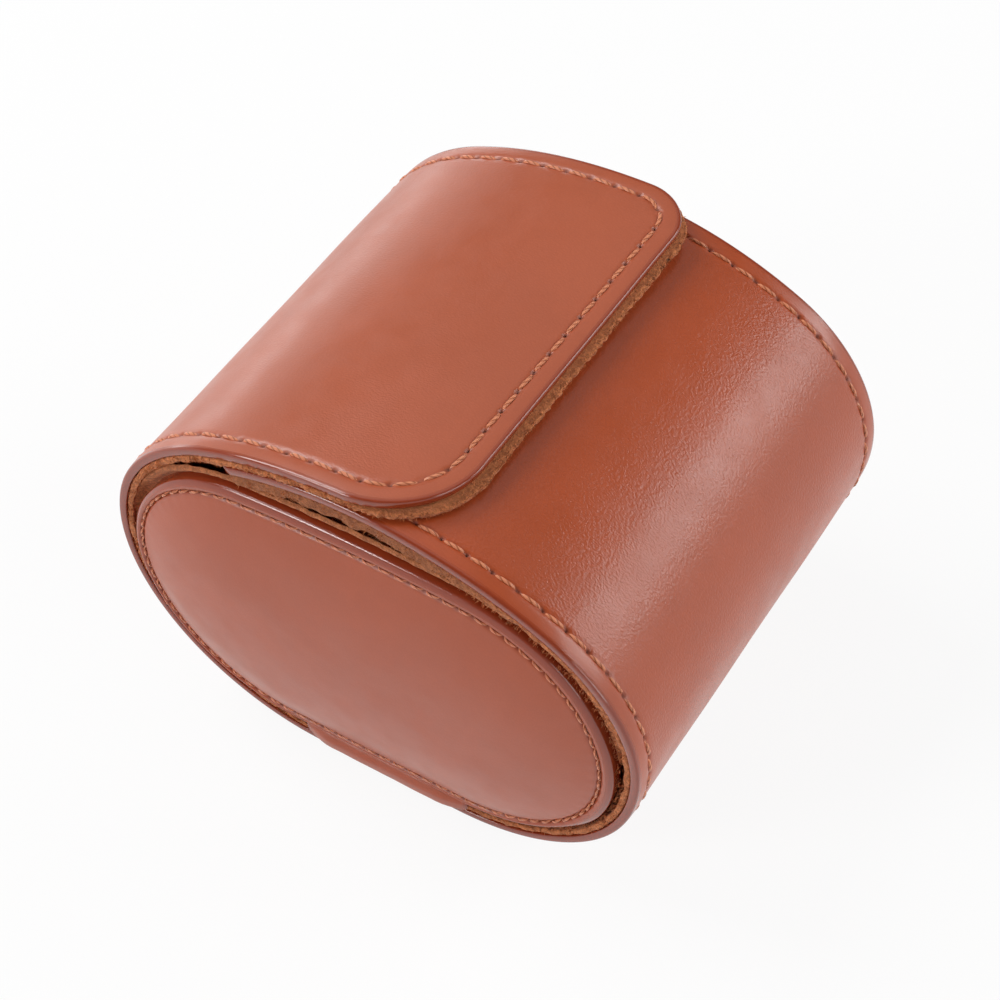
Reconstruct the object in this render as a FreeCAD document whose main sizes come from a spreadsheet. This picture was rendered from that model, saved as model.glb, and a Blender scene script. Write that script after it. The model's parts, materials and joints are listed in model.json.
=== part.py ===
import FreeCAD, Part

import math
import os
from collections import namedtuple

import Sketcher

# Watch travel case: a leather roll for one wristwatch.
# X runs along the roll, Y across it with the flap's free edge at -Y, and Z is up.
# The origin is on the floor, under the middle of the roll.

SIZES = {
    # the wrap's outer outline, seen from an end
    "wrap_length": 80.8,
    "foot_width": 28.2,
    "side_radius": 35.9,
    "crown_rise": 2.8,
    # the layers, from the outside in
    "leather": 1.1,
    "wrap_board": 0.5,
    "suede": 0.9,
    "glue_line": 0.05,
    # how the layers end at the edges and at the fold lines
    "hem_width": 4.4,
    "fold_margin": 3.0,
    "hem_round": 0.45,
    "suede_inset": 0.25,
    "suede_proud": 0.6,
    # the flap over the front wall
    "flap_gap": 0.5,
    "flap_reach": 15.0,
    "flap_corner": 12.0,
    "front_tuck": 25.0,
    "front_corner": 3.0,
    # the closure inside the flap and the front wall
    "magnet_radius": 6.0,
    "magnet_height": 0.7,
    "magnet_setback": 11.0,
    "keeper_radius": 7.0,
    "keeper_height": 0.5,
    "pocket_play": 0.15,
    # the padded end panels, which follow the wrap's inside at a distance
    "end_foot_spread": 4.8,
    "end_foot_gap": 2.2,
    "end_side_gap": 4.1,
    "end_shoulder_step": 2.9,
    "end_crown_rise": 0.8,
    "end_shift": 0.9,
    "end_proud": 0.6,
    "end_pad_edge": 0.7,
    "end_board": 1.5,
    "end_edge_round": 0.9,
    "end_seam": 1.6,
    "end_crown": 3.9,
    "end_backing_inset": 0.7,
    # the leather tab that hinges each end panel on the foot
    "tab_overreach": 2.6,
    "tab_leather": 1.1,
    "tab_lift": 0.3,
    "tab_gap": 0.5,
    # the pillow that the watch is strapped round
    "pillow_end_gap": 10.7,
    "pillow_foot": 26.0,
    "pillow_heel_radius": 23.0,
    "pillow_shoulder_step": 4.0,
    "pillow_crown_rise": 1.7,
    "pillow_sleeve": 1.2,
    "pillow_rest_gap": 0.3,
    "cap_edge": 1.2,
    "cap_crown": 2.6,
    "cap_inset": 0.8,
    # how far a cut runs past what it cuts
    "overrun": 2.0,
}

# angles in degrees and shares, which keep their value when the case is scaled
SHOULDER_START_DEGREES = 35.0
# each row is a section of a padded crown: its inset, of the oval's tightest radius, and its lift, of the swell
CROWN_SECTION_SHARES = ((0.0, 0.0), (0.2, 0.58), (0.7, 1.0))
PAD_SECTION_SHARES = ((0.0, 0.0), (0.7, 1.0))
CAP_SECTION_SHARES = ((0.0, 0.0), (0.5, 1.0))

doc = FreeCAD.newDocument("watch_travel_case")
sheet = doc.addObject("Spreadsheet::Sheet", "sizes")
for row, (word, value) in enumerate(SIZES.items(), start=1):
    sheet.set(f"A{row}", word)
    sheet.set(f"B{row}", str(value))
    sheet.setAlias(f"B{row}", word)
doc.recompute()

# An outline is a list of these, in the YZ plane and counterclockwise. Angles are in radians.
Arc = namedtuple("Arc", "y z radius start end")
Flat = namedtuple("Flat", "start end z")


def turn(y, z):
    """Angle of the direction (y, z)."""
    return math.atan2(z, y)


def sunk(outline, depth):
    """The same outline, this far under its surface."""
    return [
        part._replace(radius=part.radius - depth) if isinstance(part, Arc) else part._replace(z=part.z + depth)
        for part in outline
    ]


def trimmed(outline, at_start, at_end):
    """The outline, shortened along its surface at both ends; a negative length makes it longer."""
    first = outline[0]
    opened = [first._replace(start=first.start + at_start / first.radius)] + outline[1:]
    last = opened[-1]
    return opened[:-1] + [last._replace(end=last.end - at_end / last.radius)]


def moved(outline, across, up):
    """The outline, shifted by across in Y and up in Z."""
    return [
        part._replace(y=part.y + across, z=part.z + up)
        if isinstance(part, Arc)
        else Flat(part.start + across, part.end + across, part.z + up)
        for part in outline
    ]


def ends(part):
    """First and last point of one part of an outline."""
    if isinstance(part, Flat):
        return (part.start, part.z), (part.end, part.z)
    return tuple(
        (part.y + part.radius * math.cos(angle), part.z + part.radius * math.sin(angle))
        for angle in (part.start, part.end)
    )


def closed_oval(foot, heel, step, crown_rise):
    """Padded oval: a flat foot, heel arcs, shoulder arcs tighter by step, and a crown arc tangent to them."""
    start = math.radians(SHOULDER_START_DEGREES)
    heel_y = foot / 2
    shoulder = heel - step
    shoulder_y = heel_y + step * math.cos(start)
    shoulder_z = heel + step * math.sin(start)
    rise = shoulder + crown_rise
    height = shoulder_z + rise
    crown = (shoulder_y**2 + rise**2 - shoulder**2) / (2 * (rise - shoulder))
    crown_z = height - crown
    top = turn(shoulder_y, shoulder_z - crown_z)
    return [
        Flat(-heel_y, heel_y, 0.0),
        Arc(heel_y, heel, heel, -math.pi / 2, start),
        Arc(shoulder_y, shoulder_z, shoulder, start, top),
        Arc(0.0, crown_z, crown, top, math.pi - top),
        Arc(-shoulder_y, shoulder_z, shoulder, math.pi - top, math.pi - start),
        Arc(-heel_y, heel, heel, math.pi - start, 3 * math.pi / 2),
    ]


def plane_of(body, role):
    """The body's own origin plane of that name."""
    return next(item for item in body.Origin.OriginFeatures if item.Role == role)


def new_body(label):
    """An empty body, whose label names the sub-part."""
    body = doc.addObject("PartDesign::Body", label)
    body.Label = label
    return body


def upright_sketch(body, name, distance=None):
    """Sketch across the roll, at a distance along X that is an expression of the sheet's sizes."""
    sketch = body.newObject("Sketcher::SketchObject", name)
    sketch.AttachmentSupport = [(plane_of(body, "YZ_Plane"), "")]
    sketch.MapMode = "FlatFace"
    if distance:
        sketch.setExpression(".AttachmentOffset.Base.z", distance)
    return sketch


def add_line(sketch, start, end):
    """Straight edge between two points (y, z); returns its index."""
    return sketch.addGeometry(Part.LineSegment(FreeCAD.Vector(*start, 0), FreeCAD.Vector(*end, 0)), False)


def add_arc(sketch, part):
    """Arc edge; returns its index."""
    circle = Part.Circle(FreeCAD.Vector(part.y, part.z, 0), FreeCAD.Vector(0, 0, 1), part.radius)
    return sketch.addGeometry(Part.ArcOfCircle(circle, part.start, part.end), False)


def add_outline(sketch, outline, backwards=False):
    """Edges of an outline in the order they are passed, as (index, first end, last end)."""
    order = list(reversed(outline)) if backwards else outline
    passed = []
    for part in order:
        if isinstance(part, Arc):
            index = add_arc(sketch, part)
        else:
            index = add_line(sketch, (part.start, part.z), (part.end, part.z))
        passed.append((index, 2, 1) if backwards else (index, 1, 2))
    return passed


def join(sketch, passed):
    """Ties each edge's last end to the next one's first, and closes the loop."""
    for (index, _, last), (following, first, _) in zip(passed, passed[1:] + passed[:1]):
        sketch.addConstraint(Sketcher.Constraint("Coincident", index, last, following, first))


def draw_band(sketch, outer, inner):
    """Closed profile between two outlines of one open stretch of wall."""
    passed = add_outline(sketch, outer)
    tail = add_line(sketch, ends(outer[-1])[1], ends(inner[-1])[1])
    passed.append((tail, 1, 2))
    passed += add_outline(sketch, inner, backwards=True)
    head = add_line(sketch, ends(inner[0])[0], ends(outer[0])[0])
    passed.append((head, 1, 2))
    join(sketch, passed)


def draw_loop(sketch, outline):
    """Closed profile round an oval."""
    join(sketch, add_outline(sketch, outline))


def pad(body, sketch, length, side="Symmetric", backwards=False, kind="Pad", name=None):
    """Pad or Pocket of a sketch, its length an expression of the sheet's sizes."""
    feature = body.newObject("PartDesign::" + kind, f"{body.Label}_{name or kind.lower()}")
    feature.Profile = sketch
    feature.SideType = side
    feature.Reversed = backwards
    feature.setExpression("Length", length)
    sketch.Visibility = False
    doc.recompute()
    return feature


def loft(body, sketches, kind="AdditiveLoft"):
    """Solid, or hollow, through the sketches in order."""
    feature = body.newObject("PartDesign::" + kind, body.Label + "_" + kind.lower())
    feature.Profile = sketches[0]
    feature.Sections = sketches[1:]
    feature.Ruled = True
    doc.recompute()
    return feature


def edge_at(edge, distance):
    """Whether an edge lies in a plane across the roll, at that distance from its middle."""
    box = edge.BoundBox
    near = SIZES["glue_line"] / 2
    return box.XLength < near and abs(abs(box.XMin) - distance) < near


def bevel(body, base, wanted, size):
    """Breaks the edges of a feature that pass the test."""
    names = [f"Edge{number}" for number, edge in enumerate(base.Shape.Edges, start=1) if wanted(edge)]
    feature = body.newObject("PartDesign::Chamfer", body.Label + "_bevel")
    feature.Base = (base, names)
    feature.setExpression("Size", size)
    doc.recompute()
    return feature


# The wrap's outline: foot, two sides of one radius, and a crown arc tangent to both.
side_radius = SIZES["side_radius"]
half_foot = SIZES["foot_width"] / 2
wrap_height = 2 * side_radius + SIZES["crown_rise"]
half_length = SIZES["wrap_length"] / 2
crown_radius = (half_foot**2 + wrap_height * SIZES["crown_rise"]) / (2 * SIZES["crown_rise"])
crown_z = wrap_height - crown_radius
crown_start = turn(half_foot, side_radius - crown_z)
flap_end = math.acos(-SIZES["flap_reach"] / crown_radius)

# The front wall runs under the flap, so its crown is smaller and its shoulder tighter.
skin = SIZES["leather"] + SIZES["wrap_board"]
wall = skin + SIZES["suede"]
end_rise = wall + SIZES["end_foot_gap"]
widest = half_foot + side_radius
under_radius = crown_radius - wall - SIZES["flap_gap"]
front_radius = (under_radius**2 - widest**2 - (side_radius - crown_z) ** 2) / (2 * (under_radius - widest))
front_y = front_radius - widest
front_turn = turn(front_y, side_radius - crown_z)
front_end = math.acos(SIZES["front_tuck"] / under_radius)

STRETCHES = {
    "base": [
        Arc(-half_foot, side_radius, side_radius, math.pi, 3 * math.pi / 2),
        Flat(-half_foot, half_foot, 0.0),
        Arc(half_foot, side_radius, side_radius, 3 * math.pi / 2, 2 * math.pi),
    ],
    "back": [Arc(half_foot, side_radius, side_radius, 0.0, crown_start)],
    "flap": [Arc(0.0, crown_z, crown_radius, crown_start, flap_end)],
    "front": [
        Arc(0.0, crown_z, under_radius, front_end, front_turn),
        Arc(front_y, side_radius, front_radius, front_turn, math.pi),
    ],
}
# how far the board stops short of the stretch's two ends: at a fold line, or behind a hem
BOARD_MARGINS = {
    "base": ("fold_margin", "fold_margin"),
    "back": ("fold_margin", "fold_margin"),
    "flap": ("fold_margin", "hem_width"),
    "front": ("hem_width", "fold_margin"),
}


FREE_EDGES = {"flap": (-SIZES["flap_reach"], 1), "front": (SIZES["front_tuck"], -1)}


def corner_loop(sketch, middle, radius, side, inward):
    """Loop round the waste outside one rounded corner, whose arc has its centre at middle."""
    x, y = middle
    far = radius + SIZES["overrun"]
    on_edge, on_rim = (x, y - inward * radius), (x + side * radius, y)
    outside = [on_edge, (x, y - inward * far), (x + side * far, y - inward * far), (x + side * far, y), on_rim]
    starts_on_rim = side * inward < 0
    start = turn(side, 0.0) if starts_on_rim else turn(0.0, -inward)
    arc = add_arc(sketch, Arc(x, y, radius, start, start + math.pi / 2))
    points = outside if starts_on_rim else outside[::-1]
    lines = [add_line(sketch, first, last) for first, last in zip(points, points[1:])]
    join(sketch, [(arc, 1, 2)] + [(line, 1, 2) for line in lines])


def cut_corners(body, name, half_span, edge_y):
    """Rounds the two corners of the flap, or of the front wall's tucked end, as seen from above."""
    inward = FREE_EDGES[name][1]
    radius = SIZES[f"{name}_corner"]
    sketch = body.newObject("Sketcher::SketchObject", body.Label + "_corners")
    sketch.AttachmentSupport = [(plane_of(body, "XY_Plane"), "")]
    sketch.MapMode = "FlatFace"
    for side in (-1, 1):
        middle = (side * (half_span - radius), edge_y + inward * radius)
        corner_loop(sketch, middle, radius, side, inward)
    twice_height = "4 * sizes.side_radius + 2 * sizes.crown_rise + sizes.overrun"
    return pad(body, sketch, twice_height, kind="Pocket", name="corner_cut")


def on_outline(point, outline):
    """Whether a point lies on the outside of the wrap."""
    near = SIZES["glue_line"] / 2
    for part in outline:
        if isinstance(part, Flat):
            if abs(point.z - part.z) < near and part.start - near < point.y < part.end + near:
                return True
        elif abs(math.hypot(point.y - part.y, point.z - part.z) - part.radius) < near:
            return True
    return False


def break_rims(body, base, name):
    """Breaks the turned edge outside: both rims and the flap's free edge, not folds or the tucked end."""
    outline = STRETCHES[name]

    def turned(edge):
        marks = [edge.valueAt(edge.FirstParameter + share * (edge.LastParameter - edge.FirstParameter))
                 for share in (0.0, 0.5, 1.0)]
        if not all(on_outline(mark, outline) for mark in marks):
            return False
        along = abs(marks[0].y - marks[2].y) < SIZES["glue_line"] and abs(marks[0].x - marks[2].x) > half_foot
        free = name == "flap" and abs(marks[1].y - FREE_EDGES[name][0]) < SIZES["glue_line"]
        return free or not along

    return bevel(body, base, turned, "sizes.hem_round")


def leather_stretch(name):
    """Outer leather: as thick as leather and board at its hems, with a recess that holds the board."""
    body = new_body(f"{name}_leather")
    outline = STRETCHES[name]
    outer = upright_sketch(body, f"{name}_leather_outline")
    draw_band(outer, outline, sunk(outline, skin))
    solid = pad(body, outer, "sizes.wrap_length")
    break_rims(body, solid, name)
    if name in FREE_EDGES:
        cut_corners(body, name, half_length, FREE_EDGES[name][0])
    recess = upright_sketch(body, f"{name}_leather_recess")
    margins = [SIZES[margin] - SIZES["glue_line"] for margin in BOARD_MARGINS[name]]
    short = trimmed(outline, *margins)
    draw_band(recess, sunk(short, SIZES["leather"]), sunk(short, wall))
    pad(body, recess, "sizes.wrap_length - 2 * sizes.hem_width + 2 * sizes.glue_line", kind="Pocket")
    return body


def board_stretch(name):
    """Stiffening board in the leather's recess."""
    body = new_body(f"{name}_board")
    short = trimmed(STRETCHES[name], *[SIZES[margin] for margin in BOARD_MARGINS[name]])
    sketch = upright_sketch(body, f"{name}_board_outline")
    draw_band(sketch, sunk(short, SIZES["leather"] + SIZES["glue_line"]), sunk(short, skin))
    pad(body, sketch, "sizes.wrap_length - 2 * sizes.hem_width")
    return body


def suede_stretch(name):
    """Raw-edged suede lining, which stands out past the flap's free edge."""
    body = new_body(f"{name}_lining")
    proud = {"flap": (0.0, -SIZES["suede_proud"]), "front": (SIZES["suede_inset"], 0.0)}
    outline = trimmed(STRETCHES[name], *proud.get(name, (0.0, 0.0)))
    top, under = sunk(outline, skin + SIZES["glue_line"]), sunk(outline, wall)
    sketch = upright_sketch(body, f"{name}_lining_outline")
    draw_band(sketch, top, under)
    pad(body, sketch, "sizes.wrap_length - 2 * sizes.suede_inset")
    if name in FREE_EDGES:
        edge = top[-1] if name == "flap" else top[0]
        edge_y = ends(edge)[1][0] if name == "flap" else ends(edge)[0][0]
        cut_corners(body, name, half_length - SIZES["suede_inset"], edge_y)
    return body


def disc(name, radius, height, out_radius, angle):
    """Flat disc under the wall's surface, its outer rim just clear of the leather."""
    reach = SIZES[radius]
    inside = out_radius - SIZES["leather"] - SIZES["glue_line"]
    top = math.sqrt(inside**2 - reach**2)
    foot = top - SIZES[height]
    cylinder = doc.addObject("Part::Cylinder", name)
    cylinder.Label = name
    cylinder.setExpression("Radius", f"sizes.{radius}")
    cylinder.setExpression("Height", f"sizes.{height}")
    place = FreeCAD.Vector(0, foot * math.cos(angle), crown_z + foot * math.sin(angle))
    outward = FreeCAD.Vector(0, math.cos(angle), math.sin(angle))
    cylinder.Placement = FreeCAD.Placement(place, FreeCAD.Rotation(FreeCAD.Vector(0, 0, 1), outward))
    return cylinder


def pocketed(blank, disc_body, radius, name):
    """The blank with a round pocket for a disc, with play all round and under it."""
    tool = doc.addObject("Part::Cylinder", name + "_pocket")
    tool.Label = name + "_pocket"
    tool.setExpression("Radius", f"sizes.{radius} + sizes.pocket_play")
    tool.setExpression("Height", "sizes.overrun + sizes.glue_line")
    base = disc_body.Placement
    outward = base.Rotation.multVec(FreeCAD.Vector(0, 0, 1))
    tool.Placement = FreeCAD.Placement(base.Base - outward * SIZES["glue_line"], base.Rotation)
    cut = doc.addObject("Part::Cut", name)
    cut.Base, cut.Tool = blank, tool
    cut.Label = name
    doc.recompute()
    return cut


def closure():
    """Magnet in the flap and steel keeper in the front wall below it, each let into board and lining."""
    angle = flap_end - SIZES["magnet_setback"] / crown_radius
    magnet = disc("flap_magnet", "magnet_radius", "magnet_height", crown_radius, angle)
    keeper = disc("front_keeper_plate", "keeper_radius", "keeper_height", under_radius, angle)
    for wall_name, piece, radius in (("flap", magnet, "magnet_radius"), ("front", keeper, "keeper_radius")):
        nodes[piece.Label] = piece
        for layer in ("board", "lining"):
            name = f"{wall_name}_{layer}"
            blank = nodes[name]
            blank.Label = name + "_blank"
            nodes[name] = pocketed(blank, piece, radius, name)


def crown_loft(body, outline, base, side, swell, shares, kind="AdditiveLoft"):
    """Padded crown: the outline drawn in step by step as it rises from the plane called base."""
    tightest = min(part.radius for part in outline if isinstance(part, Arc))
    sections = []
    for number, (inset_share, lift_share) in enumerate(shares):
        distance = f"{side} * ({base} + {lift_share} * sizes.{swell})"
        sketch = upright_sketch(body, f"{body.Label}_{kind.lower()}_{number}", distance)
        draw_loop(sketch, sunk(outline, inset_share * tightest))
        sections.append(sketch)
    return loft(body, sections, kind)


def slab(label, outline, base, length, side):
    """Body of one flat layer: an oval, padded outward from the plane called base."""
    body = new_body(label)
    sketch = upright_sketch(body, label + "_outline", f"{side} * ({base})")
    draw_loop(sketch, outline)
    pad(body, sketch, length, side="One side", backwards=side < 0)
    return body


def end_panel(word, side):
    """Padded end panel: a leather cover turned round a board, foam under it, and a suede backing."""
    foot = SIZES["foot_width"] + SIZES["end_foot_spread"]
    heel = side_radius - wall - SIZES["end_side_gap"]
    oval = closed_oval(foot, heel, SIZES["end_shoulder_step"], SIZES["end_crown_rise"])
    outline = moved(oval, SIZES["end_shift"], end_rise)
    face = "sizes.wrap_length / 2 + sizes.end_proud"
    edge = "(sizes.leather + sizes.end_pad_edge + sizes.end_board + 2 * sizes.glue_line)"
    rear = f"{face} - {edge}"
    inner = sunk(outline, SIZES["leather"])
    loose = sunk(inner, SIZES["glue_line"])

    cover = slab(f"{word}_end_leather", outline, rear, edge, side)
    bevel(cover, cover.Tip, lambda rim: edge_at(rim, half_length + SIZES["end_proud"]), "sizes.end_edge_round")
    crown_loft(cover, sunk(outline, SIZES["end_seam"]), face, side, "end_crown", CROWN_SECTION_SHARES)
    hollow = upright_sketch(cover, cover.Label + "_hollow", f"{side} * ({rear})")
    draw_loop(hollow, inner)
    pad(cover, hollow, edge + " - sizes.leather", side="One side", backwards=side > 0, kind="Pocket")
    under_face = face + " - sizes.leather"
    crown_loft(cover, sunk(inner, SIZES["end_seam"]), under_face, side, "end_crown", PAD_SECTION_SHARES,
               kind="SubtractiveLoft")

    foam_base = rear + " + sizes.end_board + sizes.glue_line"
    foam = slab(f"{word}_end_pad", loose, foam_base, "sizes.end_pad_edge", side)
    crown_loft(foam, sunk(loose, SIZES["end_seam"]), under_face + " - sizes.glue_line", side, "end_crown",
               PAD_SECTION_SHARES)

    board = slab(f"{word}_end_board", loose, rear, "sizes.end_board", side)
    backing = slab(
        f"{word}_end_lining", sunk(outline, SIZES["end_backing_inset"]), rear + " - sizes.suede",
        "sizes.suede - sizes.glue_line", side,
    )
    return [cover, foam, board, backing]


def hinge_tab(word, side):
    """Leather tab on the foot's rim, whose upper edge is the end panel's fold line."""
    body = new_body(f"{word}_hinge_tab")
    spare = side_radius * math.pi / 2 - SIZES["tab_overreach"]
    strip = trimmed(STRETCHES["base"], spare, spare)
    sketch = upright_sketch(body, body.Label + "_outline", f"{side} * sizes.wrap_length / 2")
    draw_band(sketch, sunk(strip, SIZES["tab_lift"]), sunk(strip, end_rise - SIZES["tab_gap"]))
    pad(body, sketch, "sizes.tab_leather", side="One side", backwards=side < 0)
    return [body]


def pillow():
    """Pillow that the watch is strapped round: a suede sleeve on a foam core, with a crowned cap at each end."""
    keys = ("pillow_foot", "pillow_heel_radius", "pillow_shoulder_step", "pillow_crown_rise")
    outline = moved(closed_oval(*(SIZES[key] for key in keys)), 0.0, wall + SIZES["pillow_rest_gap"])
    sleeve = new_body("pillow_sleeve")
    outside = upright_sketch(sleeve, "pillow_sleeve_outline")
    draw_loop(outside, outline)
    draw_loop(outside, sunk(outline, SIZES["pillow_sleeve"]))
    length = "sizes.wrap_length - 2 * sizes.pillow_end_gap"
    pad(sleeve, outside, length)
    core = new_body("pillow_foam")
    inside = upright_sketch(core, "pillow_foam_outline")
    draw_loop(inside, sunk(outline, SIZES["pillow_sleeve"] + SIZES["glue_line"]))
    pad(core, inside, length)
    pieces = [sleeve, core]
    for word, side in SIDES:
        shape = sunk(outline, SIZES["cap_inset"])
        cap = slab(f"pillow_{word}_cap", shape, f"({length}) / 2", "sizes.cap_edge", side)
        crown_loft(cap, shape, f"({length}) / 2 + sizes.cap_edge", side, "cap_crown", CAP_SECTION_SHARES)
        pieces.append(cap)
    return pieces


def check_and_export():
    """Stops on a failed feature or an unsound shape, then writes one file per sub-part."""
    doc.recompute()
    for item in doc.Objects:
        if "Invalid" in item.State or "Error" in item.State:
            raise RuntimeError(f"{item.Label} failed: {item.State}")
    for name, piece in nodes.items():
        if piece.Shape.isNull() or not piece.Shape.isValid():
            raise RuntimeError(f"{name} has no sound shape")
    os.makedirs("parts", exist_ok=True)
    for name, piece in nodes.items():
        piece.Shape.exportStep(f"parts/{name}.step")
        print(name, len(piece.Shape.Solids), "solid", round(piece.Shape.Volume, 1), "mm3")


SIDES = (("left", -1), ("right", 1))
nodes = {}
for stretch in STRETCHES:
    for piece in (leather_stretch(stretch), board_stretch(stretch), suede_stretch(stretch)):
        nodes[piece.Label] = piece
closure()
for word, side in SIDES:
    for piece in end_panel(word, side) + hinge_tab(word, side):
        nodes[piece.Label] = piece
for piece in pillow():
    nodes[piece.Label] = piece
check_and_export()
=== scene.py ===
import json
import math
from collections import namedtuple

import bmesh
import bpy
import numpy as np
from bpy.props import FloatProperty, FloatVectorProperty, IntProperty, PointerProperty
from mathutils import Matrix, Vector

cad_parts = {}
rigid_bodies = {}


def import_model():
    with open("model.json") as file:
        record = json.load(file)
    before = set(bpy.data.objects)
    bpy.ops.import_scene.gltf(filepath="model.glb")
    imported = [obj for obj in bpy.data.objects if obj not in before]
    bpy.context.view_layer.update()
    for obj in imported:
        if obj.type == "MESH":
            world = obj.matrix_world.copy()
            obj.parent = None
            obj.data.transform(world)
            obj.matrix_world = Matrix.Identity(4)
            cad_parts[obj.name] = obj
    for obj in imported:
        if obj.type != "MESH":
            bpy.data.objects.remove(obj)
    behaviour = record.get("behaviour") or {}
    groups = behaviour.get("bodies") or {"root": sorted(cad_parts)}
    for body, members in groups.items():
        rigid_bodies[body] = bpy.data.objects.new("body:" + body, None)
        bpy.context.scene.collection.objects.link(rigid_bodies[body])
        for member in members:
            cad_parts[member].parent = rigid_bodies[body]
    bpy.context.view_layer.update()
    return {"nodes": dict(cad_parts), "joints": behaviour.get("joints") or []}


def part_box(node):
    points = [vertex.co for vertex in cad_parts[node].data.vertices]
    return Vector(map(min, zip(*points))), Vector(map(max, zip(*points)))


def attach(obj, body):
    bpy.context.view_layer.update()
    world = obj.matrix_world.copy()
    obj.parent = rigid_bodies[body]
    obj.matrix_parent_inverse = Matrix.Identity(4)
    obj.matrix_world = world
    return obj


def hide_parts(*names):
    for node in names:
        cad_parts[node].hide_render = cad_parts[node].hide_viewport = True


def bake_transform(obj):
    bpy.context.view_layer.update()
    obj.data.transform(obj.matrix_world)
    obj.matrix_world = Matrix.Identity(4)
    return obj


bl_info = {
    "name": "Watch travel case",
    "version": (1, 0, 0),
    "blender": (4, 5, 0),
    "location": "3D View > Sidebar > Watch Case",
    "description": "Leather, suede, stitching and studio for the packed watch travel case",
    "category": "Object",
}

for leftover in list(bpy.data.objects):
    bpy.data.objects.remove(leftover)
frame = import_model()

# All lengths are in metres. X runs along the roll, the flap's free edge is at -Y, and Z is up.
MM = 0.001
NEAR = 1e-9
QUARTER = math.pi / 2

# The wrap's outline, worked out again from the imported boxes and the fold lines.
JOINTS = {joint["name"]: joint for joint in frame["joints"]}
BASE_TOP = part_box("base_leather")[1]
HALF_LENGTH = BASE_TOP.x
WIDEST = BASE_TOP.y
SIDE_RADIUS = BASE_TOP.z
HALF_FOOT = WIDEST - SIDE_RADIUS
FOLD_Y, FOLD_Z = JOINTS["flap_lift"]["pos_m"][1:]
CROWN_Z = SIDE_RADIUS - HALF_FOOT * (FOLD_Z - SIDE_RADIUS) / (FOLD_Y - HALF_FOOT)
CROWN_RADIUS = math.hypot(FOLD_Y, FOLD_Z - CROWN_Z)
CROWN_START = math.atan2(FOLD_Z - CROWN_Z, FOLD_Y)
FLAP_END = math.acos(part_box("flap_leather")[0].y / CROWN_RADIUS)
UNDER_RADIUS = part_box("front_leather")[1].z - CROWN_Z
RISE_OF_SIDES = SIDE_RADIUS - CROWN_Z
FRONT_RADIUS = (UNDER_RADIUS**2 - WIDEST**2 - RISE_OF_SIDES**2) / (2 * (UNDER_RADIUS - WIDEST))
FRONT_Y = FRONT_RADIUS - WIDEST
FRONT_TURN = math.atan2(RISE_OF_SIDES, FRONT_Y)
FRONT_END = math.acos(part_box("front_leather")[1].y / UNDER_RADIUS)
MID_BACK = CROWN_START / 2

# Distances from an edge at which a sheet has its rows and columns: close at the rim and at the seam.
EDGE_STEPS = np.array([
    0, 0.015, 0.05, 0.11, 0.19, 0.3, 0.44, 0.65, 0.95, 1.35, 1.8, 2.25, 2.65, 2.95, 3.2, 3.38, 3.52, 3.68, 3.9, 4.2,
    4.7, 5.4, 6.4,
]) * MM
SUEDE_STEPS = np.array([0, 0.05, 0.15, 0.3, 0.5, 0.75, 1.05, 1.4, 1.9, 2.6, 3.6]) * MM
# How far apart the points of each surface are, away from its edges.
HIDE_STEP, SUEDE_STEP, PANEL_STEP, BACKING_STEP, PILLOW_STEP = (step * MM for step in (0.45, 0.3, 0.55, 0.7, 0.9))
# Seeds of the ripples; the side, -1 or 1, is added where both ends have the piece.
WRAP_SEED, CREASE_SEED, PANEL_SEED, BACKING_SEED, TAB_SEED, SLEEVE_SEED, CAP_SEED = 5, 31, 51, 71, 91, 111, 121
# A hidden disc's rings: shares of its radius, and depths under the leather's face.
DISC_SHARES = np.array([0, 0.5, 0.97, 1, 1, 0.97, 0.5, 0])
DISC_DEPTHS = np.array([1.1, 1.1, 1.1, 1.13, 1.54, 1.57, 1.57, 1.57]) * MM
# Points along and round a stitch, and a needle hole's radius and depth.
STITCH_RINGS, STITCH_SIDES = 7, 6
HOLE_RADIUS, HOLE_DEPTH = 0.33 * MM, 0.5 * MM
# Loose fibres in a tuft and on a millimetre of edge, and the longest one.
TUFT, FIBRES_PER_MM, FIBRE_REACH = 5, 14.0, 0.62 * MM
# Where an oval's shoulders start, and how far faces turn at an edge that stays sharp.
SHOULDER, SHARP = math.radians(35), math.radians(50)
SIDES = (("left", -1), ("right", 1))
# Share of each direction in a pattern that is drawn out along the second.
ALONG_GRAIN = (1.0, 0.6, 1.0)
WHITE = (1.0, 1.0, 1.0, 1.0)
FLOOR_REACH = 4.0

Arc = namedtuple("Arc", "centre radius start sweep")
Line = namedtuple("Line", "start end out")


class Chain:
    """Lines and arcs in a plane, passed one after the other by one length."""

    def __init__(self, *parts):
        self.parts = parts
        self.lengths = [
            math.dist(part.start, part.end) if isinstance(part, Line) else abs(part.radius * part.sweep)
            for part in parts
        ]
        self.length = sum(self.lengths)

    def at(self, along):
        """Points and outward directions: start plus length times direction, or centre plus radius times direction."""
        along = np.asarray(along, float)
        point = np.zeros(along.shape + (2,))
        out = np.zeros(along.shape + (2,))
        begin = 0.0
        for number, (part, length) in enumerate(zip(self.parts, self.lengths)):
            here = along >= begin - NEAR if number else np.ones(along.shape, bool)
            past = along[here] - begin
            if isinstance(part, Line):
                way = (np.array(part.end) - part.start) / length
                out[here] = part.out
                point[here] = np.array(part.start) + past[:, None] * way
            else:
                angle = part.start + math.copysign(1.0, part.sweep) * past / part.radius
                out[here] = np.stack([np.cos(angle), np.sin(angle)], -1)
                point[here] = np.array(part.centre) + part.radius * out[here]
            begin += length
        return point, out


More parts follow.
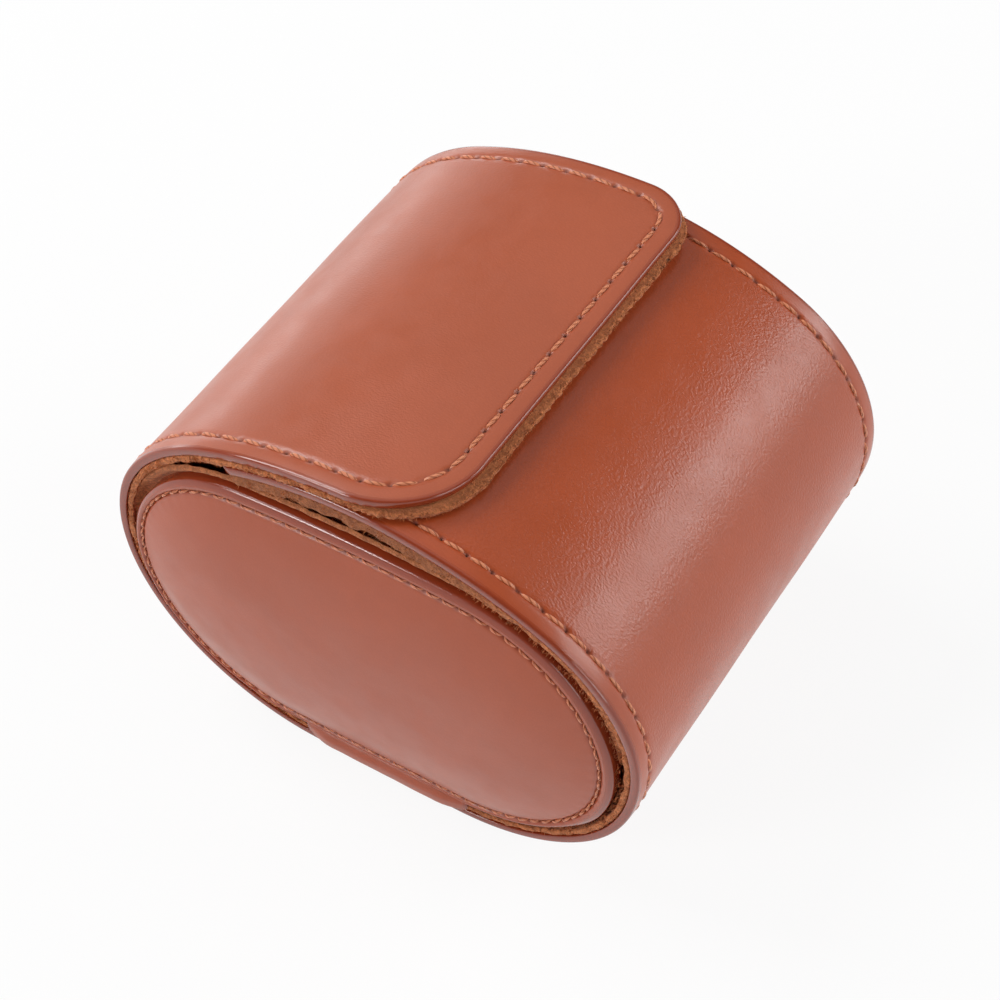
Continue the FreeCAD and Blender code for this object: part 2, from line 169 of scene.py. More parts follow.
def ripple(first, second, wavelength, seed):
    """Sum of nine plane waves over two coordinates, with seeded directions and phases, from about -1 to 1."""
    chance = np.random.default_rng(seed)
    total = np.zeros(np.broadcast(first, second).shape)
    for _ in range(9):
        heading, phase = chance.uniform(0, 2 * math.pi, 2)
        pace = 2 * math.pi / (wavelength * chance.uniform(0.6, 1.6))
        total += np.sin(pace * (first * math.cos(heading) + second * math.sin(heading)) + phase)
    return total / math.sqrt(9) / 1.5


def smooth_step(value, low, high):
    """From 0 at low to 1 at high, level at both."""
    share = np.clip((value - low) / (high - low), 0, 1)
    return share * share * (3 - 2 * share)


def rounded(inset, radius):
    """How far a round edge of that radius falls away, at an inset from the outline."""
    short = radius - np.clip(inset, 0, radius)
    return radius - np.sqrt(np.clip(radius**2 - short**2, 0, None))


def bell(distance, width):
    """1 at no distance, falling away on both sides in a bell of that width."""
    return np.exp(-((distance / width) ** 2))


def fading(distance, reach):
    """1 at no distance, and about a third of it at each further reach."""
    return np.exp(-distance / reach)


def unit(vectors):
    """The same directions, each one long."""
    return vectors / np.linalg.norm(vectors, axis=-1, keepdims=True)


class Stretch(namedtuple("Stretch", "chain forward origin corners lifts skew", defaults=(None, (0, 0), 0))):
    """A stretch of the wrap bent along a chain, from a joined start to an end that may be free.

    Forward is 1 or -1, and origin is the length along the wrap where it starts. Corners are the radii at the free
    end's left and right, lifts are how far its left and right stand off, and skew is how far it runs askew.
    """

    def along_wrap(self, s):
        """Length along the whole wrap, measured from the middle of the foot."""
        return self.origin + self.forward * s

    def rise(self, x, s, z):
        """Outward swell: slow waves over the wrap, none on the foot, and a free edge that lifts a little."""
        waves = 0.1 * MM * ripple(x, self.along_wrap(s), 42 * MM, WRAP_SEED) * smooth_step(z, 3 * MM, 14 * MM)
        left, right = self.lifts
        lift = left + (right - left) * (0.5 + 0.5 * x / HALF_LENGTH)
        return waves + lift * self.toward_end(s, 30 * MM) ** 2

    def toward_end(self, s, reach):
        """From 0 at that reach before the free end to 1 at it, and on past it."""
        return np.clip(1 - (self.chain.length - s) / reach, 0, None)

    def place(self, x, s, depth):
        """Points this deep under the outline, which swells outward by rise; the free edge runs a little askew."""
        point, out = self.chain.at(s + self.skew * x / HALF_LENGTH * np.clip(self.toward_end(s, 26 * MM), 0, 1))
        up = self.rise(x, s, point[..., 1]) - depth
        flat = point + up[..., None] * out
        return np.concatenate([x[..., None], flat], -1)

    def half_widths(self, s, half, end):
        """Reach to the left and to the right at s, drawn in round the corners of a free end."""
        reaches = []
        for corner in self.corners or (0, 0):
            short = corner - np.clip(end - s, 0, corner)
            reaches.append(half - corner + np.sqrt(np.clip(corner**2 - short**2, 0, None)))
        return reaches

    def inset(self, x, s, half, end):
        """Distance to the nearest edge: a rim, the free end, or the arc of a corner."""
        from_rim, from_end = half - np.abs(x), end - s
        if not self.corners:
            return np.clip(from_rim, 0, None)
        corner = np.where(x < 0, *self.corners)
        short_x, short_s = corner - from_rim, corner - from_end
        from_arc = corner - np.hypot(short_x, short_s)
        in_corner = (short_x > 0) & (short_s > 0)
        return np.clip(np.where(in_corner, from_arc, np.minimum(from_rim, from_end)), 0, None)

    def seams(self, half, end, margin):
        """Seam lines on the flat stretch, at a margin inside its edges."""
        a = half - margin
        if not self.corners:
            return [Chain(Line((side * a, 0), (side * a, end), (side, 0))) for side in (-1, 1)]
        b = end - margin
        left, right = (max(corner - margin, 0.8 * MM) for corner in self.corners)
        return [Chain(
            Line((-a, 0), (-a, b - left), (-1, 0)),
            Arc((-a + left, b - left), left, math.pi, -QUARTER),
            Line((-a + left, b), (a - right, b), (0, 1)),
            Arc((a - right, b - right), right, QUARTER, -QUARTER),
            Line((a, b - right), (a, 0), (1, 0)),
        )]


FRONT_CHAIN = Chain(
    Line((0, 0), (-HALF_FOOT, 0), (0, -1)),
    Arc((-HALF_FOOT, SIDE_RADIUS), SIDE_RADIUS, -QUARTER, -QUARTER),
    Arc((FRONT_Y, SIDE_RADIUS), FRONT_RADIUS, math.pi, FRONT_TURN - math.pi),
    Arc((0, CROWN_Z), UNDER_RADIUS, FRONT_TURN, FRONT_END - FRONT_TURN),
)
BACK_CHAIN = Chain(
    Line((0, 0), (HALF_FOOT, 0), (0, -1)),
    Arc((HALF_FOOT, SIDE_RADIUS), SIDE_RADIUS, -QUARTER, QUARTER + MID_BACK),
)
FLAP_CHAIN = Chain(
    Arc((HALF_FOOT, SIDE_RADIUS), SIDE_RADIUS, MID_BACK, CROWN_START - MID_BACK),
    Arc((0, CROWN_Z), CROWN_RADIUS, CROWN_START, FLAP_END - CROWN_START),
)


def bend_at(place, reach, along=(0, 0, 1)):
    """Start and end of a bend, that reach before and past a point."""
    return tuple(tuple(spot + way * reach * step for spot, step in zip(place, along)) for way in (-1, 1))


def stretches(sizes):
    """The wrap's three stretches, each with the pair of bodies at its fold and the start and end of a bend there,
    which the sheets made from them don't use. The back's bend span is shorter than the front's, so that it would
    clear the end panels.
    """
    along_flap = (0, -math.sin(CROWN_START), math.cos(CROWN_START))
    front = Stretch(FRONT_CHAIN, -1, 0.0, (sizes.front_corner,) * 2)
    back = Stretch(BACK_CHAIN, 1, 0.0)
    flap = Stretch(
        FLAP_CHAIN, 1, BACK_CHAIN.length, tuple(sizes.flap_corners), tuple(sizes.flap_lifts), sizes.flap_skew)
    return {
        "front": (front, ("base", "front"), bend_at((0, -WIDEST, SIDE_RADIUS), sizes.fold_reach)),
        "back": (back, ("base", "back"), bend_at((0, WIDEST, SIDE_RADIUS), 0.45 * sizes.fold_reach)),
        "flap": (flap, ("back", "flap"), bend_at((0, FOLD_Y, FOLD_Z), sizes.flap_fold_reach, along_flap)),
    }


# Points and faces, the place of each point in its material's pattern, and named values at each point.
Part = namedtuple("Part", "points faces flat marks")


def ring_faces(rings, around):
    """Quads between rings of points, each ring joined back to its own start."""
    ring, spot = np.meshgrid(np.arange(rings - 1), np.arange(around), indexing="ij")
    here = ring * around + spot
    beside = ring * around + (spot + 1) % around
    return np.stack([here, beside, beside + around, here + around], -1).reshape(-1, 4).tolist()


def joined(parts):
    """Several parts as one, with the numbers of their points moved on."""
    faces, begin = [], 0
    for part in parts:
        faces += [[begin + corner for corner in face] for face in part.faces]
        begin += len(part.points)
    marks = {
        name: np.concatenate([part.marks.get(name, np.zeros(len(part.points))) for part in parts])
        for name in sorted({name for part in parts for name in part.marks})
    }
    points, flat = (np.concatenate([getattr(part, key) for part in parts]) for key in ("points", "flat"))
    return Part(points, faces, flat, marks)


def make_piece(name, part, material):
    """Closed mesh object from a part: doubles merged, faces outward, smooth but for real edges."""
    mesh = bpy.data.meshes.new(name)
    mesh.from_pydata(part.points.tolist(), [], part.faces)
    flat = mesh.attributes.new("flat", "FLOAT_VECTOR", "POINT")
    flat.data.foreach_set("vector", part.flat.astype(np.float32).ravel())
    for mark, values in part.marks.items():
        layer = mesh.attributes.new(mark, "FLOAT", "POINT")
        layer.data.foreach_set("value", values.astype(np.float32))
    work = bmesh.new()
    work.from_mesh(mesh)
    bmesh.ops.remove_doubles(work, verts=work.verts, dist=0.0005 * MM)
    bmesh.ops.recalc_face_normals(work, faces=work.faces)
    work.to_mesh(mesh)
    work.free()
    mesh.polygons.foreach_set("use_smooth", np.ones(len(mesh.polygons), bool))
    mesh.set_sharp_from_angle(angle=SHARP)
    mesh.materials.append(material)
    piece = bpy.data.objects.new(name, mesh)
    bpy.context.scene.collection.objects.link(piece)
    return piece


def rows_to(end, step, edge_steps, free):
    """Rows along a stretch, evenly spaced and closer at a free end."""
    if not free:
        return np.linspace(0, end, math.ceil(end / step) + 1)
    plain = end - edge_steps[-1]
    return np.append(np.linspace(0, plain, math.ceil(plain / step), endpoint=False), end - edge_steps[::-1])


def columns_between(half_widths, edge_steps, step):
    """Columns of each row: at the edge steps from both rims, and evenly spaced between."""
    left = edge_steps - half_widths[0][:, None]
    right = (half_widths[1][:, None] - edge_steps)[:, ::-1]
    share = np.linspace(0, 1, math.ceil((right.max() - left.min()) / step) + 1)[1:-1]
    middle = left[:, -1:] + share * (right[:, :1] - left[:, -1:])
    return np.concatenate([left, middle, right], 1)


def double_sheet(stretch, x, s, top, bottom, marks):
    """Closed sheet between two grids of depths that meet at the rims; both ends are capped."""
    rows, columns = x.shape
    back = slice(columns - 2, 0, -1)
    depth = np.concatenate([top, bottom[:, back]], 1)
    ring_x, ring_s, *rings = (np.concatenate([grid, grid[:, back]], 1) for grid in (x, s, *marks.values()))
    ring = 2 * columns - 2
    faces = ring_faces(rows, ring)
    for start in (0, (rows - 1) * ring):
        for column in range(columns - 1):
            under = [(ring - number) % ring for number in (column + 1, column)]
            corners = dict.fromkeys((column, column + 1, *under))
            faces.append([start + corner for corner in corners])
    points = stretch.place(ring_x, ring_s, depth).reshape(-1, 3)
    flat = np.stack([ring_x, stretch.along_wrap(ring_s), depth], -1).reshape(-1, 3)
    return Part(points, faces, flat, {name: mark.ravel() for name, mark in zip(marks, rings)})


def hole_places(chain, pitch):
    """Lengths along a seam at which the needle went in, a whole number of pitches apart."""
    return np.linspace(0, chain.length, max(round(chain.length / pitch), 1) + 1)


def nearest_hole(x, s, holes):
    """Distance from each point of the flat stretch to the nearest needle hole."""
    nearest = np.ones(x.shape)
    for hole_x, hole_s in holes:
        nearest = np.minimum(nearest, np.hypot(x - hole_x, s - hole_s))
    return nearest


def leather_sheet(stretch, sizes, column_step):
    """Outer skin: burnished rims, a hem that slopes to them, and a groove with needle holes along the seam."""
    end = stretch.chain.length
    rows = rows_to(end, HIDE_STEP, EDGE_STEPS, stretch.corners)
    x = columns_between(stretch.half_widths(rows, HALF_LENGTH, end), EDGE_STEPS, column_step)
    s = np.broadcast_to(rows[:, None], x.shape)
    inset = stretch.inset(x, s, HALF_LENGTH, end)
    margin = sizes.seam_margin
    seams = stretch.seams(HALF_LENGTH, end, margin)
    holes = np.concatenate([seam.at(hole_places(seam, sizes.seam_pitch))[0] for seam in seams])
    near_seam = np.abs(inset - margin) < 1.4 * MM
    from_hole = np.ones(x.shape)
    from_hole[near_seam] = nearest_hole(x[near_seam], s[near_seam], holes)
    groove = sizes.seam_groove * bell(inset - margin, 0.48 * MM)
    hole = bell(from_hole, HOLE_RADIUS)
    hem_slope = 0.12 * MM * np.clip(1 - inset / margin, 0, 1) ** 1.6
    hem_swell = 0.07 * MM * np.sin(math.pi * np.clip(inset / margin, 0, 1))
    top = rounded(inset, sizes.rim_round) + hem_slope - hem_swell + groove + HOLE_DEPTH * hole
    bottom = sizes.skin - rounded(inset, 0.7 * sizes.rim_round)
    rim = 1 - smooth_step(inset, 0.3 * MM, 1.1 * MM)
    hem = 1 - smooth_step(inset, 0.6 * margin, 1.1 * margin)
    return double_sheet(stretch, x, s, top, bottom, {"rim": rim, "hole": hole, "hem": hem})


RawEdge = namedtuple("RawEdge", "proud beside plump droop column_step")


def raw_edge(name, sizes):
    """How a lining's raw edges lie: past the free end and the rims, thicker there, and drooping at one corner."""
    return {
        "front": RawEdge(-sizes.suede_inset, -sizes.suede_inset, 2.3 * MM, 0.0, 3.2 * MM),
        "back": RawEdge(0.0, -sizes.suede_inset, 0.6 * MM, 0.0, 3.2 * MM),
        "flap": RawEdge(sizes.suede_proud, 0.1 * MM, 0.45 * MM, 0.8 * MM, 0.55 * MM),
    }[name]


def droop(stretch, x, s, edge):
    """How far a lining sags from the leather: most at the free end's left corner, in a bell round it."""
    if not edge.droop:
        return np.zeros(x.shape)
    from_corner = np.hypot(x + HALF_LENGTH - 9 * MM, s - stretch.chain.length + 4 * MM)
    return (edge.droop * bell(from_corner, 13 * MM) + 0.16 * MM) * stretch.toward_end(s, 14 * MM)


def suede_sheet(stretch, sizes, edge, seed):
    """Raw-edged lining: its edges swell, and wander in and out finely and slowly; their corners are worn off. Where
    they lie up inside the case, their rim mark carries painted shade.
    """
    length = stretch.chain.length
    end, half = length + edge.proud, HALF_LENGTH + edge.beside
    rows = rows_to(end, SUEDE_STEP, SUEDE_STEPS, stretch.corners)
    half_widths = stretch.half_widths(rows, half, end)
    x = columns_between(half_widths, SUEDE_STEPS, edge.column_step)
    s = np.broadcast_to(rows[:, None], x.shape)
    inset = stretch.inset(x, s, half, end)
    none = np.zeros(x.shape)
    if edge.proud > 0:
        coarse, over, loose = 0.23 * MM, none, 1.0
    else:
        coarse, over = 0.1 * MM, smooth_step(s, 0.6 * length, 0.78 * length)
        loose = 0.2 + 0.8 * over
    ragged = coarse * ripple(x, s, 1.1 * MM, seed) + 0.17 * MM * ripple(x, s, 7 * MM, seed + 1)
    toward_end = fading(end - s, 0.9 * MM) if stretch.corners else none
    reach = np.where(x < 0, half_widths[0][:, None], half_widths[1][:, None])
    moved_x = x + np.sign(x) * ragged * fading(reach - np.abs(x), 0.9 * MM)
    moved_s = s + ragged * toward_end
    plump = edge.plump * loose * fading(inset, 1.5 * MM)
    thick = sizes.suede + plump * (0.8 + 0.3 * ripple(x, s, 5 * MM, seed + 3))
    top_depth = sizes.skin + sizes.layer_gap + droop(stretch, x, s, edge)
    fuzz = 0.13 * MM * ripple(x, s, 0.8 * MM, seed + 2) * fading(inset, 1.2 * MM)
    fall = rounded(inset, 0.34 * MM)
    bottom = top_depth + thick - fall + np.where(inset > 0.1 * MM, fuzz, 0)
    top = np.minimum(top_depth + fall + np.abs(fuzz), bottom)
    rim = 1 - smooth_step(inset, 0, 1.2 * MM)
    # Painted shade: the raw edge's stretch that lies up inside the case gets a rim mark past 1, fully on the thick
    # front lining and at 0.3 on the back.
    deep = over if edge.plump > 1 * MM else 0.3 * over
    return double_sheet(stretch, moved_x, moved_s, top, bottom, {"rim": rim * (1 + deep)})


def stitches(place, holes, sizes, scale=1.0):
    """Row of stitches: each a bowed thread that rises between two holes and dives into both, a little aslant."""
    middle = (holes[:-1] + holes[1:]) / 2
    step = np.linspace(-1, 1, STITCH_RINGS)
    radius = sizes.thread_radius * scale
    along = middle[:, None] + np.diff(holes)[:, None] / 2 * step * 0.9
    aside = np.broadcast_to(0.45 * radius * step, along.shape)
    height = np.broadcast_to(radius * (0.6 - 2.8 * np.abs(step) ** 4), along.shape)
    centre = place(along, aside, height)
    out = unit(place(along, aside, height + 0.1 * MM) - centre)
    way = unit(np.gradient(centre, axis=1))
    across = unit(np.cross(way, out))
    turn = np.linspace(0, 2 * math.pi, STITCH_SIDES, endpoint=False)
    thick = (radius * (1 - 0.25 * step**4))[None, :, None, None]
    wide = np.cos(turn)[:, None] * across[:, :, None, :] * 1.08
    tall = np.sin(turn)[:, None] * np.cross(across, way)[:, :, None, :] * 0.92
    points = centre[:, :, None, :] + thick * (wide + tall)
    points[..., 2] = np.maximum(points[..., 2], 0.02 * MM)
    single = ring_faces(STITCH_RINGS, STITCH_SIDES)
    size = STITCH_RINGS * STITCH_SIDES
    single += [list(range(STITCH_SIDES)), list(range(size - STITCH_SIDES, size))]
    length = np.broadcast_to(along[:, :, None], points.shape[:3])
    around = np.broadcast_to(turn * radius, points.shape[:3])
    flat = np.stack([length, around, np.zeros(length.shape)], -1).reshape(-1, 3)
    return Part(points.reshape(-1, 3), repeated(single, size, len(middle)), flat, {})


def repeated(faces, size, count):
    """Faces of many copies of a body that has this many points."""
    return [[number * size + corner for corner in face] for number in range(count) for face in faces]


def beside_seam(stretch, seam, along, aside, depth, edge=None):
    """Points beside a seam, this deep under the outline; given a lining's edge, they sag with it."""
    point, out = seam.at(along)
    x, s = np.moveaxis(point + aside[..., None] * out, -1, 0)
    return stretch.place(x, s, depth + droop(stretch, x, s, edge) if edge else depth)


def seam_threads(stretch, sizes, edge):
    """Stitches on both faces of a stretch: on the leather, and where they come through the suede."""
    parts = []
    for seam in stretch.seams(HALF_LENGTH, stretch.chain.length, sizes.seam_margin):
        for depth, side in ((sizes.seam_groove, 1), (sizes.skin + sizes.layer_gap + sizes.suede, -1)):
            def place(along, aside, height, seam=seam, depth=depth, side=side):
                return beside_seam(stretch, seam, along, aside, depth - side * height, edge if side < 0 else None)

            parts.append(stitches(place, hole_places(seam, sizes.seam_pitch), sizes))
    return joined(parts)


def fibres(place, length, seed):
    """Loose fibres along a raw edge: thin three-sided spikes in tufts, each leaning its own way."""
    chance = np.random.default_rng(seed)
    tufts = int(length / MM * FIBRES_PER_MM / TUFT)
    count = TUFT * tufts
    starts = np.repeat(chance.uniform(0, length, tufts), TUFT)
    along = np.clip(starts + chance.normal(0, 0.16 * MM, count), 0, length)
    depth = chance.uniform(-0.5, 0.5, count)
    root = place(along, np.zeros(count), depth)
    outward = unit(place(along, np.full(count, 1 * MM), depth) - root)
    tuft_lean = np.repeat(chance.normal(0, 0.4, (tufts, 3)), TUFT, axis=0)
    lean = unit(outward + tuft_lean + chance.normal(0, 0.35, (count, 3)))
    aside = unit(np.cross(lean, chance.normal(0, 1, (count, 3))))
    other = np.cross(lean, aside)
    thick = chance.uniform(0.05, 0.11, count)[:, None] * MM
    tall = FIBRE_REACH * chance.uniform(0.25, 1.0, count)[:, None]
    foot = root - outward * 0.2 * MM
    corners = [foot + thick * (a * aside + b * other) for a, b in ((1, 0), (-0.5, 0.87), (-0.5, -0.87))]
    points = np.stack([*corners, root + lean * tall], 1).reshape(-1, 3)
    faces = repeated([[0, 1, 2], [0, 1, 3], [1, 2, 3], [2, 0, 3]], 4, count)
    return Part(points, faces, points, {"rim": np.tile([0.4, 0.4, 0.4, 1.0], count)})


def edge_fibres(stretch, sizes, edge, seed):
    """Fibres along all the raw edges of a lining."""
    thick = sizes.suede + 0.8 * edge.plump
    seams = stretch.seams(HALF_LENGTH + edge.beside, stretch.chain.length + edge.proud, 0.1 * MM)
    parts = []
    for number, seam in enumerate(seams):
        def place(along, aside, share, seam=seam):
            depth = sizes.skin + sizes.layer_gap + (0.5 + share) * thick
            return beside_seam(stretch, seam, along, aside, depth, edge)

        parts.append(fibres(place, seam.length, seed + number))
    return joined(parts)


def hidden_disc(stretch, node, sizes):
    """Round metal disc let into the inner side of a stretch's board, bent with it, where the frame has it."""
    low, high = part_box(node)
    centre = np.add(low, high) / 2
    tried = np.linspace(0, stretch.chain.length, 800)
    spots = stretch.place(np.full(tried.shape, centre[0]), tried, sizes.skin / 2)
    middle = tried[np.argmin(np.linalg.norm(spots - centre, axis=-1))]
    turn = np.linspace(0, 2 * math.pi, 40, endpoint=False)
    rings = DISC_SHARES[:, None] * (high.x - low.x) / 2
    x = centre[0] + rings * np.cos(turn)
    s = middle + rings * np.sin(turn)
    points = stretch.place(x, s, DISC_DEPTHS[:, None] + np.zeros(len(turn))).reshape(-1, 3)
    return Part(points, ring_faces(len(rings), len(turn)), points, {})


class Oval:
    """Closed oval like the end of the roll: foot, heel arcs, tighter shoulder arcs and a crown arc."""

    def __init__(self, low, high, foot, step):
        """Fills the Y and Z of a box; step is how much tighter the shoulders are than the heels."""
        across, up = (high.y + low.y) / 2, low.z
        heel, heel_y = (high.y - low.y - foot) / 2, foot / 2
        shoulder = heel - step
        shoulder_y = heel_y + step * math.cos(SHOULDER)
        shoulder_z = heel + step * math.sin(SHOULDER)
        rise = high.z - low.z - shoulder_z
        crown = (shoulder_y**2 + rise**2 - shoulder**2) / (2 * (rise - shoulder))
        crown_z = shoulder_z + rise - crown
        top = math.atan2(shoulder_z - crown_z, shoulder_y)
        self.tightest = shoulder
        self.height = shoulder_z + rise
        self.centre = np.array([across, up + self.height / 2])
        self.chain = Chain(
            Line((across, up), (across + heel_y, up), (0, -1)),
            Arc((across + heel_y, up + heel), heel, -QUARTER, QUARTER + SHOULDER),
            Arc((across + shoulder_y, up + shoulder_z), shoulder, SHOULDER, top - SHOULDER),
            Arc((across, up + crown_z), crown, top, math.pi - 2 * top),
            Arc((across - shoulder_y, up + shoulder_z), shoulder, math.pi - top, top - SHOULDER),
            Arc((across - heel_y, up + heel), heel, math.pi - SHOULDER, QUARTER + SHOULDER),
            Line((across - heel_y, up), (across, up), (0, -1)),
        )

    def points(self, along, inset):
        """Points at an inset from the outline; past the last even ring they run straight to the centre."""
        point, out = self.chain.at(along)
        last = 0.8 * self.tightest
        even = np.minimum(inset, last)
        flat = point - even[..., None] * out
        share = np.clip((inset - last) / (self.height / 2 - last), 0, 1)
        return flat + share[..., None] * (self.centre - flat)


def oval_shell(oval, insets, distances, marks):
    """Closed body of rings round an oval, each at an inset and a distance along X, with both poles closed."""
    along = np.linspace(0, oval.chain.length, distances.shape[1], endpoint=False)
    inset = np.broadcast_to(insets if insets.ndim > 1 else insets[:, None], distances.shape)
    flat = oval.points(np.broadcast_to(along, distances.shape), inset)
    faces = ring_faces(*distances.shape)
    points = in_x(distances, flat).reshape(-1, 3)
    marks = {name: mark.ravel() for name, mark in marks.items()}
    return Part(points, faces, points[:, [1, 2, 0]], marks)


def in_x(distance, flat):
    """Points of the YZ plane moved to a distance along X."""
    return np.concatenate([distance[..., None], flat], -1)


def oval_row(oval, inset, side, level, sizes):
    """Stitches round an oval at an inset, on a face at a level from the middle of the roll."""

    def place(along, aside, height):
        return in_x(side * (level + height), oval.points(along, inset - aside))

    return stitches(place, hole_places(oval.chain, sizes.end_pitch), sizes, sizes.end_thread_share)


def dome(inset, start, end, power):
    """Padded crown: from 0 at start, steep at first, to 1 and level at end."""
    share = np.clip((inset - start) / (end - start), 0, 1)
    return 1 - (1 - share) ** power


def around(oval, step):
    """Columns round an oval, about a step apart, and as many zeros."""
    count = math.ceil(oval.chain.length / step)
    return np.linspace(0, oval.chain.length, count, endpoint=False), np.zeros(count)


END_INSETS = np.array([
    0.02, 0.08, 0.17, 0.29, 0.44, 0.62, 0.82, 1.0, 1.15, 1.28, 1.4, 1.5, 1.6, 1.7, 1.82, 1.96, 2.15, 2.4, 2.8, 3.4,
    4.2, 5.2, 6.5, 8.2, 10, 12, 14.5, 17, 20, 23, 26,
]) * MM


def roomy_side(oval, along):
    """How far a panel's outline faces the wide gap to the wrap: over it most, some in front, none at the foot."""
    way_out = oval.chain.at(along)[1]
    over = smooth_step(0.9 * way_out[:, 1] - 0.35 * way_out[:, 0], 0.2, 0.95)
    return np.maximum(over, 0.75 * smooth_step(-way_out[:, 0], 0.3, 0.85) * smooth_step(way_out[:, 1], -0.85, -0.4))


def end_panel(word, side, sizes):
    """Padded panel: board with its leather turned over the edge, a sewn groove, and a crown that puckers at it.

    The roll outside the groove spreads past the board where the wrap leaves room for it.
    """
    low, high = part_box(f"{word}_end_leather")
    face = HALF_LENGTH + sizes.end_proud
    edge = face - min(abs(low.x), abs(high.x))
    oval = Oval(low, high, sizes.end_foot, sizes.end_shoulder_step)
    along, none = around(oval, PANEL_STEP)
    seam = sizes.end_seam
    pitch = hole_places(oval.chain, sizes.end_pitch)[1]
    from_hole = np.abs((along / pitch + 0.5) % 1 - 0.5) * pitch
    middle = oval.height / 2
    rear = np.array([middle, 0.6 * middle, 12 * MM, 4 * MM, 1.2 * MM, 0.5 * MM, 0.15 * MM, 0, 0, 0])
    rear_level = np.array([0, 0, 0, 0, 0, 0.08, 0.3, 0.65]) * MM - edge
    rear_level = np.append(rear_level, [-0.55 * edge, -1.45 * MM])
    front = np.append(END_INSETS, middle)
    past_seam = np.clip(front - seam, 0, None)
    crown = sizes.end_crown * dome(front, seam, middle, 2.5) * (1 - 0.8 * fading(past_seam, 1.3 * MM))
    puff = 0.22 * MM * np.sin(math.pi * np.clip((front - 0.4 * MM) / (seam - 0.4 * MM), 0, 1))
    groove = 0.4 * MM * bell(front - seam, 0.42 * MM)
    level = (crown + puff - groove - rounded(front, 0.75 * MM))[:, None] + none
    reach = front[:, None] - seam
    beyond = past_seam[:, None]
    holes = bell(np.hypot(reach, from_hole), 0.34 * MM)
    pull = bell(beyond - 0.9 * MM, 0.8 * MM) * (reach > 0)
    level -= 0.26 * MM * holes + 0.02 * MM * pull * np.cos(2 * math.pi * along / pitch)
    creases = 0.04 * MM * ripple(along, none, 5 * MM, CREASE_SEED + side)
    level += beyond / (beyond + 1.2 * MM) * fading(beyond, 2.6 * MM) * creases
    spots = oval.points(np.broadcast_to(along, level.shape), front[:, None] + none)
    slow = (34 * MM, PANEL_SEED + side)
    waves = ripple(spots[..., 0], spots[..., 1], *slow) - ripple(*oval.centre, *slow)
    level += 0.14 * MM * smooth_step(front, 3 * MM, 12 * MM)[:, None] * waves
    behind = rear_level[:, None] + none
    insets = np.concatenate([rear, front])[:, None]
    spread = sizes.end_roll_spread * roomy_side(oval, along) * np.clip(1 - insets / seam, 0, 1)
    distances = side * (face + np.concatenate([behind, level]))
    rim = 1 - smooth_step(insets, 0.2 * MM, 1.2 * MM) + np.zeros(distances.shape)
    marks = {"hole": np.concatenate([np.zeros(behind.shape), holes]), "rim": rim}
    shell = oval_shell(oval, insets - spread, distances, marks)
    return oval, shell, oval_row(oval, seam, side, face - 0.16 * MM, sizes)


def end_suede(word, side, sizes, oval):
    """Suede backing on the panel's inner side: its raw edge wanders, and curls out where the gap is wide, and there
    its rim mark carries painted shade.
    """
    low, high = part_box(f"{word}_end_lining")
    outer, inner = (high.x, low.x) if side > 0 else (low.x, high.x)
    along, none = around(oval, BACKING_STEP)
    middle = oval.height / 2
    thick = abs(outer - inner)
    edge = np.array([3, 1.2, 0.5, 0.2, 0.05, 0]) * MM
    inset = np.concatenate([[middle, 0.5 * middle], edge, edge[-2::-1], [0.5 * middle, middle]])
    half = len(edge) + 1
    depth = rounded(inset, thick / 2)
    from_outer = np.where(np.arange(len(inset)) <= half, depth, thick - depth)
    from_outer[half] = thick / 2
    wander = 0.18 * MM * ripple(along, none, 2.5 * MM, BACKING_SEED + side)
    near_edge = fading(inset, 0.8 * MM)[:, None]
    over = smooth_step(oval.chain.at(along)[1][:, 1], -0.35, 0.5)
    reach = 3.6 * MM * over
    insets = np.minimum(inset[:, None] + sizes.end_suede_inset + near_edge * (wander - reach), middle)
    curl = 2.4 * MM * over * np.clip(2 * near_edge - 0.6, 0, 1)
    distances = outer - side * (from_outer[:, None] - curl)
    # Near the edge, over the wide gap, the rim mark rises past 1, which paints shade into the backing's curl.
    return oval_shell(oval, insets, distances, {"rim": near_edge * (1 + 0.6 * over)})


# Section of a hinge tab, from under the panel's edge to the foot's rim: out past the rim, and up from the floor.
TAB_OUT = np.array([-1.15, -0.55, 0.1, 0.5, 0.56, 0.5]) * MM
TAB_UP = np.array([5.1, 4.6, 3.95, 3.15, 2.25, 1.05]) * MM
TAB_STEPS = np.array([0, 0.03, 0.1, 0.22, 0.4, 0.7, 1.1, 1.7, 2.5, 3.5, 4.7, 6.0]) * MM


